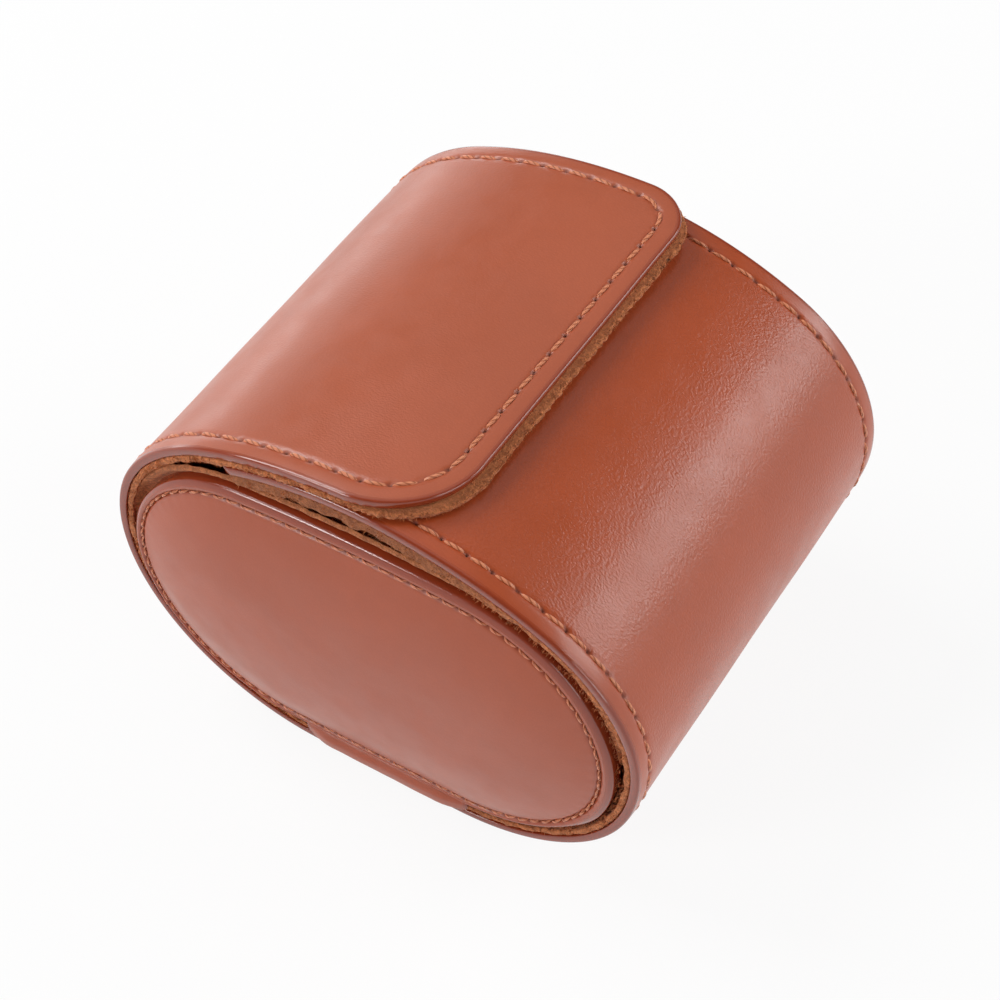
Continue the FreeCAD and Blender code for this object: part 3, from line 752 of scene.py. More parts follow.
def hinge_tab(word, side):
    """Leather tab: a strip along Y with that section, thinned towards its ends and edges, that follows the wrap."""
    low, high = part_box(f"{word}_hinge_tab")
    half_thick = (max(abs(low.x), abs(high.x)) - HALF_LENGTH) / 2
    half_tab = high.y
    fine = np.linspace(0, len(TAB_OUT) - 1, 26)
    path = np.stack([np.interp(fine, np.arange(len(TAB_OUT)), line) for line in (TAB_OUT + HALF_LENGTH, TAB_UP)])
    for _ in range(3):
        path[:, 1:-1] = (path[:, :-2] + 2 * path[:, 1:-1] + path[:, 2:]) / 4
    way = unit(np.gradient(path, axis=1).T)
    out, up = -way[:, 1:], way[:, :1]
    length = np.append(0, np.cumsum(np.hypot(*np.diff(path))))
    middle = np.linspace(-half_tab + TAB_STEPS[-1], half_tab - TAB_STEPS[-1], 32)[1:-1]
    wide = np.concatenate([-half_tab + TAB_STEPS, middle, half_tab - TAB_STEPS[::-1]])
    from_side = half_tab - np.abs(wide)
    thin_side = 1 - (1 - np.clip(from_side / TAB_STEPS[-1], 0, 1)) ** 3
    thin_end = 1 - rounded(length[-1] - length, half_thick) / half_thick
    swell = half_thick * np.sqrt(np.clip(thin_side * thin_end[:, None], 0, 1))
    tucked = 0.75 * MM * (1 - smooth_step(from_side, 0, TAB_STEPS[-1]))
    x = (path[0] - 0.18 * MM * smooth_step(length, 0.3 * length[-1], length[-1]))[:, None] - tucked
    wave = 0.05 * MM * ripple(wide[None, :], length[:, None], 8 * MM, TAB_SEED + side)
    y = np.broadcast_to(wide, x.shape)
    lift = SIDE_RADIUS - np.sqrt(SIDE_RADIUS**2 - np.clip(np.abs(y) - HALF_FOOT, 0, None) ** 2)

    def face(way_out):
        proud = way_out * swell + wave
        z = np.maximum(path[1][:, None] + proud * up + lift, 0.05 * MM)
        return np.stack([side * (x + proud * out), y, z], -1)

    rows, columns = x.shape
    ring = np.concatenate([face(1), face(-1)[:, columns - 2:0:-1]], 1)
    count = ring.shape[1]
    faces = ring_faces(rows, count)
    faces += [list(range(count)), list(range((rows - 1) * count, rows * count))]
    points = ring.reshape(-1, 3)
    edge = np.tile(1 - smooth_step(from_side, 0.2 * MM, 1.2 * MM), 2)[:count]
    return Part(points, faces, points[:, [1, 2, 0]], {"rim": np.tile(edge, rows)})


CAP_INSETS = np.array([
    0.03, 0.15, 0.35, 0.65, 1.0, 1.3, 1.6, 1.9, 2.2, 2.6, 3.2, 4.2, 5.6, 7.4, 10, 13, 16.5, 20,
]) * MM
CAP_SEAM = 1.6 * MM


def pillow_sleeve(oval, half):
    """Suede sleeve: full at the middle, drawn in and puckered at its seams."""
    along, none = around(oval, PILLOW_STEP)
    middle = oval.height / 2
    step = np.linspace(-1, 1, 61)
    barrel = 0.55 * MM * np.abs(step) ** 3 + 0.9 * MM * np.clip((np.abs(step) - 0.94) / 0.06, 0, 1) ** 2
    closing = np.array([1.8, 2.7, 6.5]) * MM
    ends = half - np.array([0, 0.25, 0.25]) * MM
    insets = np.concatenate([[middle], closing[::-1], barrel, closing, [middle]])[:, None]
    x = np.concatenate([[-ends[-1]], -ends[::-1], half * step, ends, [ends[-1]]])[:, None]
    edge_pull = 0.22 * MM * fading(half - np.abs(x), 5 * MM) * ripple(along, none, 6 * MM, SLEEVE_SEED)
    soft = 0.2 * MM * (1 + ripple(along[None, :], x, 30 * MM, SLEEVE_SEED + 2))
    grid = np.clip(insets + np.where(insets < 3 * MM, np.abs(edge_pull) + soft, 0), 0, middle)
    return oval_shell(oval, grid, x + none, {"rim": np.zeros(grid.shape)})


def pillow_cap(oval, side, half, sizes):
    """Crowned cap in the sleeve's end, with its own row of stitches."""
    along, none = around(oval, PILLOW_STEP)
    middle = oval.height / 2
    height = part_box("pillow_right_cap")[1].x - half
    inside = sizes.cap_inset
    seam_dip = 0.3 * MM * bell(CAP_INSETS - CAP_SEAM, 0.4 * MM)
    rise = sizes.cap_edge - rounded(CAP_INSETS, 0.9 * MM) - seam_dip
    rise += (height - sizes.cap_edge) * dome(CAP_INSETS, CAP_SEAM, middle, 3.4)
    inset = np.concatenate([[middle, 4 * MM + inside, 0.4 * MM + inside, 0.08 * MM + inside], CAP_INSETS + inside])
    beyond = inset - CAP_SEAM - inside
    bumps = 0.12 * MM * fading(np.clip(beyond, 0, None), 3 * MM) * (beyond > 0.1 * MM)
    level = np.concatenate([[0, 0, 0.02 * MM, 0.25 * MM], rise])[:, None]
    level = level + bumps[:, None] * ripple(along, none, 5 * MM, CAP_SEED + side)
    level[:2] = 0
    distances = side * (half + 0.05 * MM + np.concatenate([level, none[None, :] + height - 0.05 * MM]))
    shell = oval_shell(oval, np.append(inset, middle), distances, {"rim": np.zeros(distances.shape)})
    return shell, oval_row(oval, inside + CAP_SEAM, side, half + sizes.cap_edge - 0.15 * MM, sizes)


# Materials

def fill(tree, node, inputs):
    """Gives a node its inputs by name or number: sockets are linked, values are set."""
    for key, value in inputs.items():
        if isinstance(value, bpy.types.NodeSocket):
            tree.links.new(value, node.inputs[key])
        else:
            node.inputs[key].default_value = value


def add(tree, kind, inputs=None, **settings):
    """New shader node with its settings and inputs."""
    node = tree.nodes.new("ShaderNode" + kind)
    for key, value in settings.items():
        setattr(node, key, value)
    fill(tree, node, inputs or {})
    return node


def maths(tree, operation, *values):
    """Output of a Math node; MULTIPLY_ADD takes three values, the product's two and what is added."""
    return add(tree, "Math", dict(enumerate(values)), operation=operation).outputs[0]


def mixed(tree, factor, first, second):
    """Output of a colour Mix node."""
    return add(tree, "Mix", {0: factor, 6: first, 7: second}, data_type="RGBA").outputs[2]


def ranged(tree, value, low, high, to_low, to_high, smooth=True):
    """Value carried from one range to another and held at its ends."""
    kind = "SMOOTHSTEP" if smooth else "LINEAR"
    inputs = {"Value": value, "From Min": low, "From Max": high, "To Min": to_low, "To Max": to_high}
    return add(tree, "MapRange", inputs, interpolation_type=kind).outputs[0]


def noise(tree, vector, size, detail=2.0, rough=0.5, warp=0.0):
    """Noise whose lumps are about this size in metres."""
    inputs = {"Vector": vector, "Scale": 1 / size, "Detail": detail, "Roughness": rough, "Distortion": warp}
    return add(tree, "TexNoise", inputs).outputs["Fac"]


def stretched(tree, vector, shares):
    """The pattern's place, with each direction scaled by its share."""
    return add(tree, "VectorMath", {0: vector, 1: shares}, operation="MULTIPLY").outputs[0]


def shader_group(name, inputs, outputs):
    """Turns a function that builds a group's inside, and gives its outputs, into one that gives the group."""

    def named(build):
        def group():
            if name in bpy.data.node_groups:
                return bpy.data.node_groups[name]
            tree = bpy.data.node_groups.new(name, "ShaderNodeTree")
            for label, (kind, default) in inputs.items():
                socket = tree.interface.new_socket(name=label, in_out="INPUT", socket_type="NodeSocket" + kind)
                if default is not None:
                    socket.default_value = default
            for label, kind in outputs.items():
                tree.interface.new_socket(name=label, in_out="OUTPUT", socket_type="NodeSocket" + kind)
            source = tree.nodes.new("NodeGroupInput")
            fill(tree, tree.nodes.new("NodeGroupOutput"), build(tree, source.outputs))
            return tree

        return group

    return named


# The one input of a pattern that needs only its place.
PLACE = {"Vector": ("Vector", None)}


@shader_group(
    "Leather grain", {**PLACE, "Cells per metre": ("Float", 2400.0), "Wrinkles": ("Float", 0.5)},
    {"Height": "Float", "Creases": "Float"},
)
def leather_grain(tree, given):
    """Fine pebbled grain: cells parted by creases, with finer noise on them."""
    place = given["Vector"]
    push = add(tree, "VectorMath", {0: place, 1: (0.25 * MM,) * 3}, operation="ADD").outputs[0]
    spot = mixed(tree, noise(tree, place, 1.1 * MM, 1.0), place, push)
    inputs = {"Vector": stretched(tree, spot, ALONG_GRAIN), "Scale": given["Cells per metre"]}
    cells = add(tree, "TexVoronoi", inputs, feature="DISTANCE_TO_EDGE").outputs["Distance"]
    crease = ranged(tree, cells, 0.0, 0.22, 0.0, 1.0)
    wrinkle = noise(tree, stretched(tree, place, ALONG_GRAIN), 0.36 * MM, 1.0, 0.5)
    folds = ranged(tree, wrinkle, 0.3, 0.7, 0.0, 1.0, smooth=False)
    pebbles = maths(tree, "MULTIPLY", crease, 0.25)
    fine = maths(tree, "MULTIPLY_ADD", noise(tree, place, 0.28 * MM, 3.0, 0.6), 0.3, pebbles)
    high = maths(tree, "MULTIPLY", folds, given["Wrinkles"])
    return {"Height": maths(tree, "ADD", fine, high), "Creases": maths(tree, "SUBTRACT", 1.0, crease)}


@shader_group("Uneven dye", PLACE, {"Tone": "Float"})
def uneven_dye(tree, given):
    """Slow clouds and a finer mottle."""
    slow = noise(tree, given["Vector"], 26 * MM, 2.0, 0.5)
    fine = noise(tree, given["Vector"], 3.5 * MM, 3.0, 0.55)
    both = maths(tree, "MULTIPLY_ADD", slow, 0.7, maths(tree, "MULTIPLY", fine, 0.3))
    return {"Tone": ranged(tree, both, 0.36, 0.64, 0.0, 1.0)}


@shader_group("Suede nap", PLACE, {"Height": "Float", "Nap": "Float", "Strokes": "Float"})
def suede_nap(tree, given):
    """Matted fibres, tufts, and strokes where the nap lies over."""
    place = given["Vector"]
    fibre = noise(tree, stretched(tree, place, ALONG_GRAIN), 0.3 * MM, 3.0, 0.7, 0.8)
    tufts = noise(tree, place, 0.9 * MM, 3.0, 0.6, 0.5)
    strokes = noise(tree, place, 9 * MM, 2.0, 0.5, 0.4)
    both = maths(tree, "MULTIPLY_ADD", fibre, 0.55, maths(tree, "MULTIPLY", tufts, 0.45))
    return {"Height": both, "Nap": ranged(tree, both, 0.41, 0.6, 0.0, 1.0), "Strokes": strokes}


@shader_group("Worn edge", {
    "Face colour": ("Color", (0.5, 0.2, 0.1, 1)), "Edge colour": ("Color", (0.3, 0.05, 0.02, 1)),
    "Hole colour": ("Color", (0.05, 0.01, 0.005, 1)), "Rim": ("Float", 0.0), "Hole": ("Float", 0.0),
}, {"Colour": "Color"})
def turned_edge_and_hole_shade(tree, given):
    """Turned edge, darker and richer than the face, and painted shade in the needle holes, darker still."""
    edged = mixed(tree, given["Rim"], given["Face colour"], given["Edge colour"])
    return {"Colour": mixed(tree, given["Hole"], edged, given["Hole colour"])}


def read_mark(tree, name, output="Fac"):
    """A value that the piece's mesh carries."""
    return add(tree, "Attribute", attribute_name=name, attribute_type="GEOMETRY").outputs[output]


def new_material(name):
    """Material with only a Principled shader; gives the material, its tree and that shader."""
    material = bpy.data.materials.new(name)
    material.use_nodes = True
    tree = material.node_tree
    tree.nodes.clear()
    shader = add(tree, "BsdfPrincipled")
    add(tree, "OutputMaterial", {0: shader.outputs[0]})
    return material, tree, shader


def dress(tree, shader, colour, rough, height, depth, strength=1.0, **plain):
    """Gives a shader its colour, roughness and relief, and plain values named with underscores for spaces."""
    bump = add(tree, "Bump", {"Strength": strength, "Distance": depth, "Height": height})
    fill(tree, shader, {"Base Color": colour, "Roughness": rough, "Normal": bump.outputs[0]})
    fill(tree, shader, {key.replace("_", " "): value for key, value in plain.items()})


def darker(colour, share):
    """The colour times a share, opaque."""
    return tuple(channel * share for channel in colour[:3]) + (1.0,)


def leather_material(name, colours, face_colour, wrinkles, rough, grain_depth):
    """Smooth dyed leather from the grain, dye and edge groups; its rims are burnished to a higher gloss, and its
    needle holes carry painted shade.
    """
    material, tree, shader = new_material(name)
    place, edge, light = read_mark(tree, "flat", "Vector"), tuple(colours.edge), tuple(getattr(colours, face_colour))
    rim, hole = read_mark(tree, "rim"), read_mark(tree, "hole")
    grain = add(tree, "Group", {"Vector": place, "Wrinkles": wrinkles}, node_tree=leather_grain()).outputs
    tone = add(tree, "Group", {"Vector": place}, node_tree=uneven_dye()).outputs["Tone"]
    face = mixed(tree, tone, darker(light, 0.93), light)
    colour = add(tree, "Group", {
        "Face colour": mixed(tree, maths(tree, "MULTIPLY", grain["Creases"], 0.1), face, edge),
        "Edge colour": edge, "Hole colour": tuple(colours.hole),
        # The hole mark paints shade into the needle holes.
        "Rim": maths(tree, "MULTIPLY", rim, 0.85), "Hole": maths(tree, "MULTIPLY", hole, 0.95),
    }, node_tree=turned_edge_and_hole_shade()).outputs["Colour"]
    uneven = ranged(tree, noise(tree, place, 6 * MM, 3.0), 0.3, 0.7, rough - 0.03, rough + 0.04)
    polished = maths(tree, "ADD", uneven, maths(tree, "MULTIPLY", rim, 0.14 - rough))
    dulled = maths(tree, "ADD", polished, maths(tree, "MULTIPLY", hole, 0.5))
    smoothed = maths(tree, "MULTIPLY_ADD", read_mark(tree, "hem"), -0.8, 1.0)
    height = maths(tree, "MULTIPLY", grain["Height"], smoothed)
    dress(tree, shader, colour, dulled, height, grain_depth, IOR=1.5, Specular_IOR_Level=0.68)
    return material


def suede_material(name, colours):
    """Suede: nap that is lighter on its tufts, with painted shade deep in a gap, and a dry sheen."""
    material, tree, shader = new_material(name)
    place, light, dark = read_mark(tree, "flat", "Vector"), tuple(colours.suede), tuple(colours.suede_dark)
    nap = add(tree, "Group", {"Vector": place}, node_tree=suede_nap()).outputs
    marked = read_mark(tree, "rim")
    edge = maths(tree, "MINIMUM", marked, 1.0)
    # Rim marks past 1 carry painted shade: deep in the gap inside the case, the suede is mixed towards a darkened
    # suede shade.
    deep = maths(tree, "MULTIPLY", maths(tree, "MAXIMUM", maths(tree, "SUBTRACT", marked, 1.0), 0.0), 0.45)
    calm = tuple(0.6 * bright + 0.4 * dull for bright, dull in zip(light, dark))
    face = mixed(tree, nap["Nap"], mixed(tree, edge, calm, dark), light)
    stroked = mixed(tree, maths(tree, "MULTIPLY", nap["Strokes"], 0.25), face, dark)
    fluffed = mixed(tree, maths(tree, "MULTIPLY", edge, 0.3), stroked, light)
    # Painted shade: mixed towards the suede shade at 0.4 where the gap is deep.
    colour = mixed(tree, deep, fluffed, darker(dark, 0.4))
    rough = ranged(tree, nap["Nap"], 0.0, 1.0, 0.98, 0.86)
    dress(tree, shader, colour, rough, nap["Height"], 0.42 * MM,
          IOR=1.4, Specular_IOR_Level=0.12, Sheen_Weight=0.15, Sheen_Roughness=0.5)
    return material


def thread_material(name, colours):
    """Waxed two-ply thread: slanted turns shade it and raise it."""
    material, tree, shader = new_material(name)
    place, dark = read_mark(tree, "flat", "Vector"), tuple(colours.thread_dark)
    parts = add(tree, "SeparateXYZ", {"Vector": place}).outputs
    slant = maths(tree, "MULTIPLY", parts["Y"], 2 / (0.29 * MM))
    turns = maths(tree, "MULTIPLY_ADD", parts["X"], 1 / (1.3 * MM) * 2 * math.pi, slant)
    ply = ranged(tree, maths(tree, "SINE", turns), -1.0, 0.0, 0.0, 1.0)
    worn = noise(tree, place, 1.5 * MM, 2.0)
    shade = mixed(tree, ply, dark, tuple(colours.thread))
    colour = mixed(tree, maths(tree, "MULTIPLY", worn, 0.4), shade, dark)
    dress(tree, shader, colour, ranged(tree, worn, 0.3, 0.7, 0.36, 0.5), ply, 0.05 * MM, 0.6,
          Specular_IOR_Level=0.4, Sheen_Weight=0.2, Sheen_Roughness=0.4)
    return material


def metal_material(name, tint, rough):
    """Plated metal with fine turned scratches and dull patches."""
    material, tree, shader = new_material(name)
    place = add(tree, "TexCoord").outputs["Object"]
    scratches = noise(tree, stretched(tree, place, (1.0, 9.0, 9.0)), 0.7 * MM, 3.0, 0.6)
    patches = noise(tree, place, 4 * MM, 3.0, 0.5)
    dull = ranged(tree, patches, 0.3, 0.7, rough, rough + 0.12)
    dress(tree, shader, mixed(tree, patches, tint, darker(tint, 0.8)), dull, scratches, 0.01 * MM, 0.5, Metallic=1.0)
    return material


# Each leather's colour, how strong its wrinkles are, how rough it is and how deep its grain is.
LEATHERS = {
    # The flap's colour, paler than the front's, is painted sheen: it stands in for the whitish haze of reflection
    # over the flap.
    "wrap_hide": ("flap", 0.6, 0.34, 0.022 * MM),
    "front_hide": ("leather", 1.0, 0.32, 0.03 * MM),
    "panel_hide": ("panel", 0.3, 0.36, 0.014 * MM),
}


def soft_finish(name, colours):
    """The leather, suede or thread of that name, made once."""
    if name in bpy.data.materials:
        return bpy.data.materials[name]
    if name in LEATHERS:
        return leather_material(name, colours, *LEATHERS[name])
    return {"suede_nap": suede_material, "waxed_thread": thread_material}[name](name, colours)


def length(name, description, default):
    """Size in metres."""
    return FloatProperty(name=name, description=description, default=default, unit="LENGTH")


class WatchCaseSizes(bpy.types.PropertyGroup):
    """Sizes that the frame doesn't give."""

    skin: length("Leather and board", "Thickness of the leather with its board", 0.0016)
    layer_gap: length("Glue line", "Gap between leather and suede", 0.00005)
    suede: length("Suede", "Thickness of the suede lining", 0.00085)
    suede_inset: length("Suede inset", "How far the suede stops inside the rims", 0.00025)
    suede_proud: length("Suede proud", "How far the suede stands out past the flap", 0.0013)
    flap_corners: FloatVectorProperty(name="Flap corners", size=2, default=(0.0155, 0.0088), unit="LENGTH",
                                      description="Radii of the flap's left and right corners")
    front_corner: length("Front corner", "Radius of the tucked end's corners", 0.003)
    flap_lifts: FloatVectorProperty(name="Flap lifts", size=2, default=(0.0011, 0.0014), unit="LENGTH",
                                    description="How far the flap's free edge lifts, left and right")
    flap_skew: length("Flap skew", "How much further the flap reaches at its right", 0.00036)
    rim_round: length("Rim round", "Radius of the burnished rims", 0.00038)
    fold_reach: length("Side fold reach", "Half the height over which a side bends", 0.008)
    flap_fold_reach: length("Flap fold reach", "Half the length over which the flap bends", 0.012)
    seam_margin: length("Seam margin", "Distance of the wrap's seam from its edges", 0.0035)
    seam_pitch: length("Stitch length", "Distance between needle holes on the wrap", 0.0046)
    seam_groove: length("Seam groove", "Depth of the groove along the wrap's seam", 0.00018)
    thread_radius: length("Thread radius", "Radius of the wrap's thread", 0.00029)
    end_thread_share: FloatProperty(
        name="Finer thread", description="Size of the panels' thread beside the wrap's", default=0.78)
    end_foot: length("Panel foot", "Straight length at a panel's foot", 0.033)
    end_shoulder_step: length(
        "Panel shoulder step", "How much tighter a panel's shoulders are than its heels", 0.0029)
    end_proud: length("Panel proud", "How far a panel stands out past the rims", 0.0006)
    end_seam: length("Panel seam margin", "Distance of a panel's seam from its edge", 0.0016)
    end_roll_spread: length("Panel roll", "How far a panel's roll spreads past its board", 0.0011)
    end_pitch: length("Panel stitch length", "Distance between a panel's needle holes", 0.0029)
    end_crown: length("Panel crown", "How far a panel's padding swells", 0.0038)
    end_suede_inset: length("Panel suede inset", "How far a panel's suede stops inside its edge", 0.0007)
    pillow_foot: length("Pillow foot", "Straight length at the pillow's foot", 0.026)
    pillow_shoulder_step: length(
        "Pillow shoulder step", "How much tighter the pillow's shoulders are than its heels", 0.004)
    cap_inset: length("Cap inset", "How far a pillow cap stops inside the sleeve", 0.0008)
    cap_edge: length("Cap edge", "Height of a pillow cap's straight edge", 0.0012)
    fibre_seed: IntProperty(name="Fibre seed", description="Seed of the loose fibres", default=400)


def colour_property(name, description, red, green, blue):
    """Colour in linear light."""
    return FloatVectorProperty(name=name, description=description, subtype="COLOR", size=4, min=0, max=1,
                               default=(red, green, blue, 1.0))


class WatchCaseColours(bpy.types.PropertyGroup):
    """Colours in linear light."""

    leather: colour_property("Leather", "Dyed leather of the wrap", 0.45, 0.076, 0.018)
    # Painted sheen: the flap's colour is paler and less saturated than the front's, to stand in for the whitish haze
    # of reflection on it.
    flap: colour_property("Flap leather", "Dyed leather of the flap, handled to a paler shade", 0.46, 0.096, 0.034)
    panel: colour_property("Panel leather", "Dyed leather of the end panels", 0.44, 0.076, 0.019)
    edge: colour_property("Edge", "Turned and burnished edges", 0.26, 0.032, 0.008)
    # Painted shade in the needle holes.
    hole: colour_property("Holes", "Needle holes", 0.060, 0.012, 0.004)
    suede: colour_property("Suede", "Light side of the suede's nap", 0.84, 0.30, 0.118)
    suede_dark: colour_property("Suede shade", "Dark side of the suede's nap", 0.25, 0.062, 0.022)
    thread: colour_property("Thread", "Waxed thread", 0.80, 0.30, 0.155)
    thread_dark: colour_property("Thread shade", "Between the thread's plies", 0.42, 0.115, 0.045)
    floor: colour_property("Floor", "Studio floor", 0.92, 0.92, 0.92)


def settings(context):
    """The two property groups."""
    return context.scene.watch_case_sizes, context.scene.watch_case_colours


class WATCHCASE_OT_wrap(bpy.types.Operator):
    """Makes the wrap's three leather skins, which stand for the leather and the boards"""

    bl_idname = "watchcase.wrap"
    bl_label = "Leather wrap"

    def execute(self, context):
        sizes, colours = settings(context)
        stood_for = {
            "front": ("front_leather", "front_board", "base_leather", "base_board"),
            "back": ("base_leather", "base_board", "back_leather", "back_board"),
            "flap": ("back_leather", "back_board", "flap_leather", "flap_board"),
        }
        for name, (stretch, bodies, bend) in stretches(sizes).items():
            hide, column_step = ("wrap_hide", 0.55 * MM) if name == "flap" else ("front_hide", 1.3 * MM)
            sheet = leather_sheet(stretch, sizes, column_step)
            skin = make_piece(f"{name}_skin", sheet, soft_finish(hide, colours))
            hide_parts(*stood_for[name])
            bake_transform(skin)
        return {"FINISHED"}


class WATCHCASE_OT_lining(bpy.types.Operator):
    """Makes the wrap's suede linings, with raw edges and loose fibres"""

    bl_idname = "watchcase.lining"
    bl_label = "Suede lining"

    def execute(self, context):
        sizes, colours = settings(context)
        stood_for = {
            "front": ("front_lining", "base_lining"),
            "back": ("base_lining", "back_lining"),
            "flap": ("back_lining", "flap_lining"),
        }
        for number, (name, (stretch, bodies, bend)) in enumerate(stretches(sizes).items()):
            seed = sizes.fibre_seed + 20 * number
            edge = raw_edge(name, sizes)
            sheet = suede_sheet(stretch, sizes, edge, seed)
            fluff = edge_fibres(stretch, sizes, edge, seed + 10)
            lining = make_piece(f"{name}_suede", joined([sheet, fluff]), soft_finish("suede_nap", colours))
            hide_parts(*stood_for[name])
            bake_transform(lining)
        return {"FINISHED"}


class WATCHCASE_OT_seams(bpy.types.Operator):
    """Sews the wrap: a row of stitches along every edge, on the leather and on the suede"""

    bl_idname = "watchcase.seams"
    bl_label = "Wrap stitching"

    def execute(self, context):
        sizes, colours = settings(context)
        for name, (stretch, bodies, bend) in stretches(sizes).items():
            threads = seam_threads(stretch, sizes, raw_edge(name, sizes))
            row = make_piece(f"{name}_stitches", threads, soft_finish("waxed_thread", colours))
            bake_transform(row)
        return {"FINISHED"}


class WATCHCASE_OT_ends(bpy.types.Operator):
    """Makes both padded end panels with their stitching, suede backing and hinge tab"""

    bl_idname = "watchcase.ends"
    bl_label = "End panels"

    def execute(self, context):
        sizes, colours = settings(context)
        hide, suede, thread = (soft_finish(name, colours) for name in ("panel_hide", "suede_nap", "waxed_thread"))
        for word, side in SIDES:
            body = f"{word}_end"
            oval, shell, row = end_panel(word, side, sizes)
            panel = make_piece(f"{word}_panel", shell, hide)
            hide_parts(f"{word}_end_leather", f"{word}_end_pad", f"{word}_end_board")
            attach(panel, body)
            stitching = make_piece(f"{word}_panel_stitches", row, thread)
            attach(stitching, body)
            backing = make_piece(f"{word}_panel_suede", end_suede(word, side, sizes, oval), suede)
            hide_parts(f"{word}_end_lining")
            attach(backing, body)
            tab = make_piece(f"{word}_tab", hinge_tab(word, side), hide)
            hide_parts(f"{word}_hinge_tab")
            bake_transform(tab)
        return {"FINISHED"}


class WATCHCASE_OT_pillow(bpy.types.Operator):
    """Makes the watch pillow: suede sleeve and two sewn caps"""

    bl_idname = "watchcase.pillow"
    bl_label = "Watch pillow"

    def execute(self, context):
        sizes, colours = settings(context)
        suede, thread = (soft_finish(name, colours) for name in ("suede_nap", "waxed_thread"))
        low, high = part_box("pillow_sleeve")
        oval = Oval(low, high, sizes.pillow_foot, sizes.pillow_shoulder_step)
        roll = make_piece("pillow_roll", pillow_sleeve(oval, high.x), suede)
        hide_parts("pillow_sleeve", "pillow_foam")
        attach(roll, "pillow")
        for word, side in SIDES:
            shell, row = pillow_cap(oval, side, high.x, sizes)
            cap = make_piece(f"pillow_{word}_end", shell, suede)
            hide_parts(f"pillow_{word}_cap")
            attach(cap, "pillow")
            stitching = make_piece(f"pillow_{word}_stitches", row, thread)
            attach(stitching, "pillow")
        return {"FINISHED"}


class WATCHCASE_OT_closure(bpy.types.Operator):
    """Makes the hidden magnet in the flap and its steel keeper in the front wall"""

    bl_idname = "watchcase.closure"
    bl_label = "Magnet and keeper"

    def execute(self, context):
        sizes, _ = settings(context)
        metals = {
            "flap_magnet": ("flap", "magnet", metal_material("nickel_plate", (0.62, 0.60, 0.56, 1), 0.22)),
            "front_keeper_plate": ("front", "keeper", metal_material("zinc_plate", (0.55, 0.56, 0.58, 1), 0.34)),
        }
        for node, (wall, slot, finish) in metals.items():
            stretch = stretches(sizes)[wall][0]
            disc = make_piece(f"{wall}_{slot}_disc", hidden_disc(stretch, node, sizes), finish)
            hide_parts(node)
            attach(disc, wall)
        for node in frame["nodes"].values():
            if node.name.endswith(("_board", "_pad", "_foam")) and not node.hide_render:
                raise RuntimeError(f"{node.name} still shows")
        return {"FINISHED"}


# Area lamps, a metre from the case: heading and height in degrees, width and height in metres, and watts.
LAMPS = {
    "key_softbox": (92, 48, 0.5, 0.5, 5.8),
    "front_softbox": (-50, 27, 0.6, 0.45, 3.9),
    "left_softbox": (148, 27, 0.3, 0.3, 3.9),
    "near_softbox": (-95, 20, 0.5, 0.5, 2.4),
    "top_softbox": (30, 62, 0.8, 0.8, 1.1),
    "low_strip": (56, 2, 1.0, 0.13, 1.3),
}


def soft_lamp(name, heading, height, width, tall, watts):
    """Area lamp that faces the middle of the case."""
    data = bpy.data.lights.new(name, "AREA")
    data.shape = "RECTANGLE"
    data.size, data.size_y = width, tall
    data.energy = watts
    lamp = bpy.data.objects.new(name, data)
    bpy.context.scene.collection.objects.link(lamp)
    heading, height = math.radians(heading), math.radians(height)
    back = np.array([math.cos(height) * math.cos(heading), math.cos(height) * math.sin(heading), math.sin(height)])
    right = unit(np.cross((0, 0, 1), back))
    lamp.matrix_world = placement(back + (0, 0, 0.04), right, np.cross(back, right), back)


def placement(place, right, up, back):
    """Matrix that puts an object at a point, with its own X, Y and Z along right, up and back."""
    return Matrix([*zip(right, up, back, place), (0, 0, 0, 1)])


def rays_seen(tree):
    """One for what is seen, directly or in a gloss or through glass, and nothing for the light itself."""
    rays = add(tree, "LightPath").outputs
    seen = maths(tree, "MAXIMUM", rays["Is Camera Ray"], rays["Is Glossy Ray"])
    return maths(tree, "MAXIMUM", seen, rays["Is Transmission Ray"])


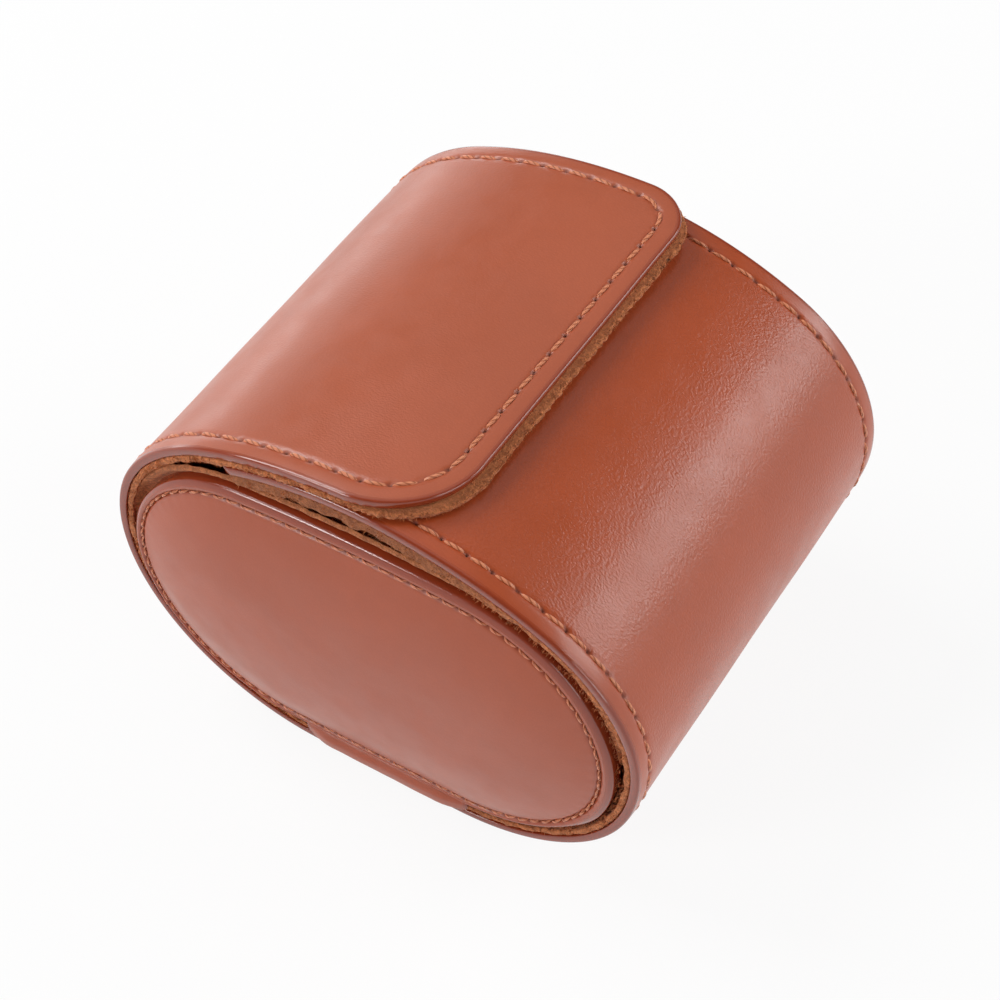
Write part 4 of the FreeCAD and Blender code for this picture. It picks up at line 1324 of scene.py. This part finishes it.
class WATCHCASE_OT_stage(bpy.types.Operator):
    """Sets up the camera, the pale floor and the soft studio light"""

    bl_idname = "watchcase.stage"
    bl_label = "Studio"

    def execute(self, context):
        _, colours = settings(context)
        scene = context.scene
        self.camera(scene)
        self.floor(scene, colours)
        self.world(scene)
        for name, numbers in LAMPS.items():
            soft_lamp(name, *numbers)
        scene.view_settings.view_transform = "Standard"
        return {"FINISHED"}

    def camera(self, scene):
        """Camera at the photograph's angle: its place, and the directions of its right, up and back."""
        data = bpy.data.cameras.new("camera")
        data.sensor_width = 36.0
        data.lens = 78.57
        data.clip_start = 0.01
        camera = bpy.data.objects.new("camera", data)
        scene.collection.objects.link(camera)
        camera.matrix_world = placement(
            (-0.19696, -0.13936, 0.31661), right=(0.53109, -0.84595, -0.04799), up=(0.66330, 0.37984, 0.64480),
            back=(-0.52724, -0.37427, 0.76284),
        )
        scene.camera = camera

    def floor(self, scene, colours):
        """Wide flat floor: a soft white that keeps the object's shadow."""
        mesh = bpy.data.meshes.new("floor")
        corners = [(FLOOR_REACH * x, FLOOR_REACH * y, 0) for x, y in ((-1, -1), (1, -1), (1, 1), (-1, 1))]
        mesh.from_pydata(corners, [], [(0, 1, 2, 3)])
        floor = bpy.data.objects.new("floor", mesh)
        scene.collection.objects.link(floor)
        material, tree, shader = new_material("studio_floor")
        fill(tree, shader, {"Base Color": tuple(colours.floor), "Roughness": 0.9, "Specular IOR Level": 0.1})
        glow = add(tree, "Emission", {"Color": WHITE, "Strength": 1.0})
        share = maths(tree, "MULTIPLY", rays_seen(tree), 0.9)
        blended = add(tree, "MixShader", {0: share, 1: shader.outputs[0], 2: glow.outputs[0]})
        fill(tree, tree.nodes["Material Output"], {0: blended.outputs[0]})
        mesh.materials.append(material)

    def world(self, scene):
        """Pale room: where it is seen, itself or in a gloss, it is white up to a hand above the horizon."""
        world = bpy.data.worlds.new("studio")
        scene.world = world
        world.use_nodes = True
        tree = world.node_tree
        tree.nodes.clear()
        height = add(tree, "SeparateXYZ", {"Vector": add(tree, "TexCoord").outputs["Generated"]}).outputs["Z"]
        wall = ranged(tree, height, 0.16, 0.4, 0.9, 0.1)
        strength = maths(tree, "ADD", maths(tree, "MULTIPLY", rays_seen(tree), wall), 0.06)
        room = add(tree, "Background", {"Color": WHITE, "Strength": strength})
        add(tree, "OutputWorld", {0: room.outputs[0]})


class WATCHCASE_PT_panel(bpy.types.Panel):
    """Lists the steps, the sizes and the colours"""

    bl_idname = "WATCHCASE_PT_panel"
    bl_label = "Watch travel case"
    bl_space_type = "VIEW_3D"
    bl_region_type = "UI"
    bl_category = "Watch Case"

    def draw(self, context):
        layout = self.layout
        for step in STEPS:
            layout.operator(step.bl_idname)
        for group in settings(context):
            box = layout.box()
            for key in group.__annotations__:
                box.prop(group, key)


STEPS = (
    WATCHCASE_OT_wrap, WATCHCASE_OT_lining, WATCHCASE_OT_seams, WATCHCASE_OT_ends,
    WATCHCASE_OT_pillow, WATCHCASE_OT_closure, WATCHCASE_OT_stage,
)
CLASSES = (WatchCaseSizes, WatchCaseColours, *STEPS, WATCHCASE_PT_panel)


def register():
    for each in CLASSES:
        bpy.utils.register_class(each)
    bpy.types.Scene.watch_case_sizes = PointerProperty(type=WatchCaseSizes)
    bpy.types.Scene.watch_case_colours = PointerProperty(type=WatchCaseColours)


def unregister():
    del bpy.types.Scene.watch_case_colours
    del bpy.types.Scene.watch_case_sizes
    for each in reversed(CLASSES):
        bpy.utils.unregister_class(each)


def main():
    register()
    bpy.ops.watchcase.wrap()
    bpy.ops.watchcase.lining()
    bpy.ops.watchcase.seams()
    bpy.ops.watchcase.ends()
    bpy.ops.watchcase.pillow()
    bpy.ops.watchcase.closure()
    bpy.ops.watchcase.stage()


if __name__ == "__main__":
    main()
